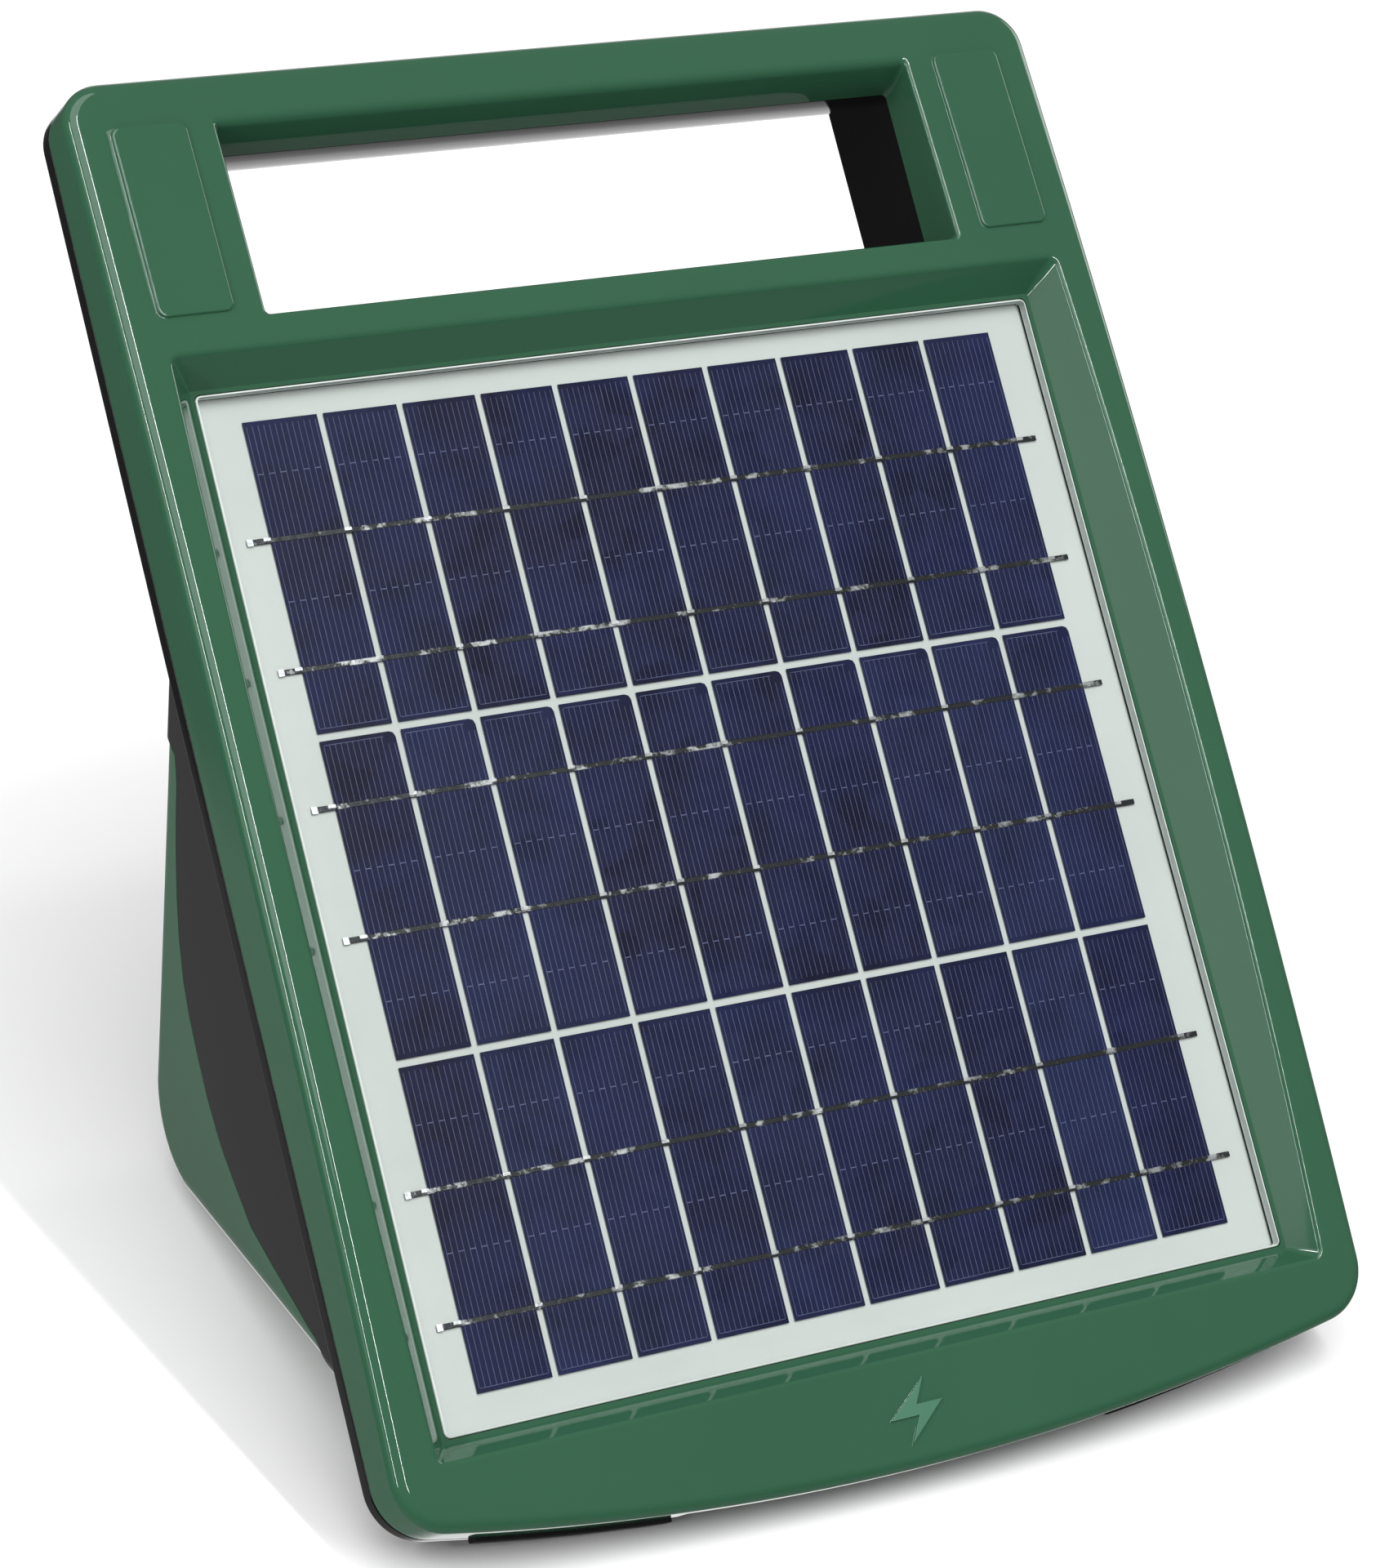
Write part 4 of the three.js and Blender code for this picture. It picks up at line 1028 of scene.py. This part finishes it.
# ---------------------------------------------------------------- small hardware
def drive_screw(name, body, node, p, d, head_r, head_0, head_1, shank_r, shank_end):
    """Pan head with a rounded rim and a cross recess; d points from head to tip."""
    h = head_1 - head_0
    prof = [(0, head_0), (head_r * 0.55, head_0 + 0.02), (head_r * 0.82, head_0 + h * 0.16), (head_r * 0.96, head_0 + h * 0.4), (head_r, head_0 + h * 0.7),
            (head_r, head_1), (shank_r, head_1), (shank_r, shank_end - shank_r), (0, shank_end)]
    o = turned(p, d, prof, 40)
    z = Vector(d).normalized()
    x = z.orthogonal().normalized()
    y = z.cross(x)
    for a, b_ in ((x, y), (y, x)):
        t = Build()
        c = Vector(p) + z * head_0
        w, l, dep = 0.42, head_r * 0.58, min(h * 0.7, 1.3)
        top = t.ring([c - z + a * sx * l + b_ * sy * w for sx, sy in ((-1, -1), (1, -1), (1, 1), (-1, 1))])
        bot = t.ring([c + z * dep + a * sx * l * 0.55 + b_ * sy * w * 0.8 for sx, sy in ((-1, -1), (1, -1), (1, 1), (-1, 1))])
        t.bridge(top, bot)
        t.f += [tuple(top), tuple(bot)]
        cut(o, t.obj("t"))
    return place(smooth(o, 32), name, body, "steel", node, STEELM)


for s, side in ((-1, "left"), (1, "right")):
    drive_screw("cover_fastener_" + side, "cover", "cover_screw_" + side, (s * COVER_SCREW_U, SCREW_V, SCREW_N), (0, -S, K), 4.4, 0.4, 2.9, 1.5, 21)
for i, (u, v) in enumerate(SCREWS_TOP):
    drive_screw("frame_fastener_%d" % (i + 1), "energizer", "shell_screw_%d" % (i + 1), (u, v, 0), (0, 0, 1), 3.6, -15.2, -12.4, 1.5, 3)
for i, (u, v) in enumerate(SCREWS_BOTTOM):
    drive_screw("frame_fastener_%d" % (i + 3), "energizer", "shell_screw_%d" % (i + 3), (u, v, 0), (0, 0, 1), 3.6, -13.4, -10.8, 1.5, 3)


def terminal(label, v, mat, slot):
    o = (0, v, CONTROL_N)
    X = (1, 0, 0)
    prof = [(0, 119), (3, 119), (3, 122), (5.6, 122), (5.6, 126.2), (3, 126.2), (3, 131.6), (7.1, 131.6), (7.4, 131.8), (7.4, 132.8), (7.2, 133), (3, 133)]
    s = 133.5
    while s < 145:
        prof += [(3.0, s), (2.7, s + 0.25), (3.0, s + 0.5)]
        s += 0.5
    prof += [(3.0, 145.2), (2.4, 146), (0, 146)]
    place(smooth(turned(o, X, prof, 36), 30), label + "_threaded_stud", "energizer", "steel", label + "_stud", STEELM)
    ring = turned(o, X, [(0, 133.4), (8.3, 133.4), (8.6, 133.6), (8.6, 134.7), (8.3, 134.9), (0, 134.9)], 64)
    cut(ring, rod(o, X, 130, 140, 3.5))
    place(smooth(ring, 30), label + "_washer", label.split("_")[0] + "_clamp", "steel", label + "_clamp", STEELM)
    b = Build()
    prof = [(-0.9, 135.3), (-0.25, 135.5), (0, 136.0), (0, 148.6), (-0.35, 149.6), (-1.2, 150.3), (-2.0, 150.5)]
    rings = []
    for dr, u in prof:
        ring_pts = []
        for i in range(128):
            a = 2 * math.pi * i / 128
            r = 10 - 0.9 + 0.9 * math.cos(8 * a) + dr
            ring_pts.append((u, v + r * math.cos(a), CONTROL_N + r * math.sin(a)))
        rings.append(ring_pts)
    ids = b.strip(rings)
    b.fill(ids[0], axes=(1, 2))
    b.fill(ids[-1], axes=(1, 2))
    knob = b.obj("k")
    cut(knob, rod(o, X, 130, 146.6, 3.5))
    cut(knob, turned(o, X, [(0, 149.9), (5.2, 149.9), (6.2, 151), (0, 151)], 48))
    place(smooth(knob, 30), label + "_grip", label.split("_")[0] + "_knob", slot, label + "_knob", mat)


terminal("fence_terminal", FENCE_V, REDM, "red_plastic")
terminal("earth_terminal", EARTH_V, BLACKM, "black_plastic")


def build_switch():
    o, X = (0, SWITCH_V, CONTROL_N), (1, 0, 0)
    knob = turned(o, X, [(0, 115), (3, 115), (3, 131.6), (12.3, 131.6), (12.6, 131.9), (12.5, 133.4), (12.2, 135), (11.9, 135.8), (11.2, 136.4), (10.4, 136.6), (0, 136.6)], 72)
    bar = meet(block(136, 144, SWITCH_V - 11, SWITCH_V + 11, CONTROL_N - 3, CONTROL_N + 3), turned(o, X, [(0, 130), (11.1, 130), (11.1, 142.6), (10.4, 143.6), (9.2, 144), (0, 144)], 72))
    join(knob, bar)
    cut(knob, block(143.5, 145, SWITCH_V + 3, SWITCH_V + 9.6, CONTROL_N - 0.5, CONTROL_N + 0.5))
    return knob


place(edged(build_switch(), 0.5, 34, 3), "switch_dial", "switch", "dark_plastic", "switch_knob", BLACKM)
light = turned((0, LED_V, LED_N), (1, 0, 0), [(0, 123), (2.9, 123), (2.9, 130.8), (3.9, 130.8), (4, 130.95), (4, 131.8), (3.85, 132.4), (3.4, 133.05), (2.7, 133.6), (1.8, 134), (0.9, 134.16), (0, 134.2)], 40)
place(smooth(light, 40), "status_lens_dome", "energizer", "red_lens", "status_light", LENSM)

# ---------------------------------------------------------------- CAD nodes that stay
FINISH = {
    "solar_backsheet": SHEETM, "panel_adhesive": RUBBERM, "junction_box": DARKM, "shell_seal": RUBBERM,
    "front_foot_left": RUBBERM, "front_foot_right": RUBBERM, "rear_foot_left": RUBBERM, "rear_foot_right": RUBBERM,
    "switch_body": BLACKM, "battery": CASE, "battery_bracket": STEELM, "bracket_screw_1": STEELM, "bracket_screw_2": STEELM,
    "circuit_board": BOARDM, "transformer_core": COREM, "transformer_coil": COPPER, "storage_capacitor": CAPM,
    "battery_lead_red": REDWIRE, "battery_lead_black": BLACKWIRE, "panel_lead": BLACKWIRE, "fence_lead": REDWIRE, "earth_lead": GREENWIRE,
}
for i in range(1, 5):
    FINISH["board_screw_%d" % i] = STEELM
ROUNDED = {"front_foot_left": 0.3, "front_foot_right": 0.3, "rear_foot_left": 0.4, "rear_foot_right": 0.4, "battery": 1.6, "junction_box": 1.2,
           "battery_bracket": 0.25, "switch_body": 0.6, "circuit_board": 0.2, "transformer_core": 0.4, "transformer_coil": 0.8, "storage_capacitor": 0.4}
for name, mat in FINISH.items():
    o = frame["nodes"][name]
    o.data.materials.clear()
    o.data.materials.append(mat)
    if name in ROUNDED:
        c = copy_of(o)
        c.name = "tmp"
        edged(c, ROUNDED[name], 35, 3)
        body = o["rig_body"]
        slot_name = {"front_foot_left": "rubber", "front_foot_right": "rubber", "rear_foot_left": "rubber", "rear_foot_right": "rubber",
                     "battery": "battery_case", "battery_bracket": "steel", "circuit_board": "board", "transformer_core": "core_steel",
                     "transformer_coil": "copper"}.get(name, "black_plastic")
        place(c, name + "_piece", body, slot_name, name, mat)
    else:
        for p in o.data.polygons:
            p.use_smooth = name.endswith("lead") or "lead_" in name
        if "lead" in name:
            m = o.modifiers.new("round", "SUBSURF")
            m.levels = m.render_levels = 1

# ---------------------------------------------------------------- stage
me = bpy.data.meshes.new("floor")
me.from_pydata([(-40, -40, 0), (40, -40, 0), (40, 40, 0), (-40, 40, 0)], [], [(0, 1, 2, 3)])
floor = bpy.data.objects.new("floor", me)
bpy.context.scene.collection.objects.link(floor)
fm = Mat("floor_pale", Roughness=0.9)
fm.b.inputs["Specular IOR Level"].default_value = 0.1
fm.link(fm.mix(fm.noise(3, 3), lin((236, 236, 236)), lin((239, 239, 239))), fm.b.inputs["Base Color"])
floor.data.materials.append(fm.m)
floor.visible_glossy = False

world = bpy.data.worlds.new("studio")
bpy.context.scene.world = world
world.use_nodes = True
wt = world.node_tree
lp = wt.nodes.new("ShaderNodeLightPath")
dim, pale, wm = wt.nodes["Background"], wt.nodes.new("ShaderNodeBackground"), wt.nodes.new("ShaderNodeMixShader")
wc, ws, wr = wt.nodes.new("ShaderNodeTexCoord"), wt.nodes.new("ShaderNodeSeparateXYZ"), wt.nodes.new("ShaderNodeMapRange")
wt.links.new(wc.outputs["Generated"], ws.inputs[0])
wt.links.new(ws.outputs["Z"], wr.inputs["Value"])
for k, x in zip(("From Min", "From Max", "To Min", "To Max"), (-0.3, 0.75, 0.09, 0.31)):
    wr.inputs[k].default_value = x


def sky(op, a, b):
    n = wt.nodes.new("ShaderNodeMath")
    n.operation = op
    wt.links.new(a, n.inputs[0])
    wt.links.new(b, n.inputs[1])
    return n.outputs[0]


def ramp(axis, a, b, to0, to1):
    n = wt.nodes.new("ShaderNodeMapRange")
    for k, x in zip(("From Min", "From Max", "To Min", "To Max"), (a, b, to0, to1)):
        n.inputs[k].default_value = x
    wt.links.new(ws.outputs[axis], n.inputs["Value"])
    return n.outputs["Result"]


table = ramp("Z", -0.547, -0.523, 0.16, 0.0)
backdrop = sky("MULTIPLY", sky("MULTIPLY", ramp("X", 0.1, 0.3, 0, 0.8), ramp("Y", 0.3, 0.5, 0, 1)), ramp("Z", 0.2, 0.45, 1, 0))
seen = sky("MULTIPLY", sky("ADD", table, backdrop), lp.outputs["Is Glossy Ray"])
wt.links.new(sky("ADD", wr.outputs["Result"], seen), dim.inputs[1])
dim.inputs[0].default_value = (1, 1, 1, 1)
pale.inputs[0].default_value = (1, 1, 1, 1)
pale.inputs[1].default_value = 0.96
wt.links.new(lp.outputs["Is Camera Ray"], wm.inputs[0])
wt.links.new(dim.outputs[0], wm.inputs[1])
wt.links.new(pale.outputs[0], wm.inputs[2])
wt.links.new(wm.outputs[0], wt.nodes["World Output"].inputs["Surface"])
bpy.context.scene.view_settings.view_transform = "Standard"
bpy.context.scene.view_settings.look = "None"


def area(name, loc, target, width, length, power, along=None):
    """Soft light facing target; its long side lies along the given direction."""
    l = bpy.data.lights.new(name, "AREA")
    l.shape = "RECTANGLE"
    l.size, l.size_y = width, length
    l.energy = power
    o = bpy.data.objects.new(name, l)
    z = (Vector(loc) - Vector(target)).normalized()
    y = Vector(along or (0, 1, 0))
    y = (y - z * y.dot(z)).normalized()
    x = y.cross(z)
    m = Matrix((x, y, z)).transposed().to_4x4()
    m.translation = Vector(loc)
    o.matrix_world = m
    bpy.context.scene.collection.objects.link(o)
    return o


MID = (0, 0, 0.13)
area("strip_front", (0.23, -0.96, 1.64), MID, 0.05, 1.5, 20, (0, S, K))
area("strip_left", (-1.42, -0.30, 0.93), MID, 0.05, 1.5, 12, (0, S, K))
area("soft_left", (-1.30, -0.05, 0.52), MID, 0.6, 0.8, 1.8, (0, 0, 1))
area("soft_right", (1.35, 0.30, 0.75), MID, 0.5, 0.8, 5, (0, 0, 1))
sun = bpy.data.lights.new("soft_sun", "SUN")
sun.energy, sun.angle = 1.9, math.radians(60)
sun_o = bpy.data.objects.new("soft_sun", sun)
sun_o.rotation_euler = (-Vector((-0.30, -0.30, 1.6))).to_track_quat("-Z", "Y").to_euler()
bpy.context.scene.collection.objects.link(sun_o)

# ---------------------------------------------------------------- camera
cam = bpy.data.cameras.new("camera")
camera = bpy.data.objects.new("camera", cam)
bpy.context.scene.collection.objects.link(camera)
bpy.context.scene.camera = camera
FOCAL = 5878.6495
cam.sensor_width = 36
cam.sensor_fit = "AUTO"
cam.lens = FOCAL * 36 / 1920
cam.clip_start, cam.clip_end = 0.05, 50
rot = (2.832586669649904, -0.29882025315083505, 0.6733970433071271)
tr = (11.906246765672003, 11.930277483712363, 1177.6029925345417)
ang = math.sqrt(sum(x * x for x in rot))
Rm = Matrix.Rotation(ang, 3, Vector(rot) / ang)
C = -(Rm.transposed() @ Vector(tr))
right, down, fwd = (D(Rm[i]) for i in range(3))
M = Matrix((right, -down, -fwd)).transposed().to_4x4()
M.translation = P(C)
camera.matrix_world = M
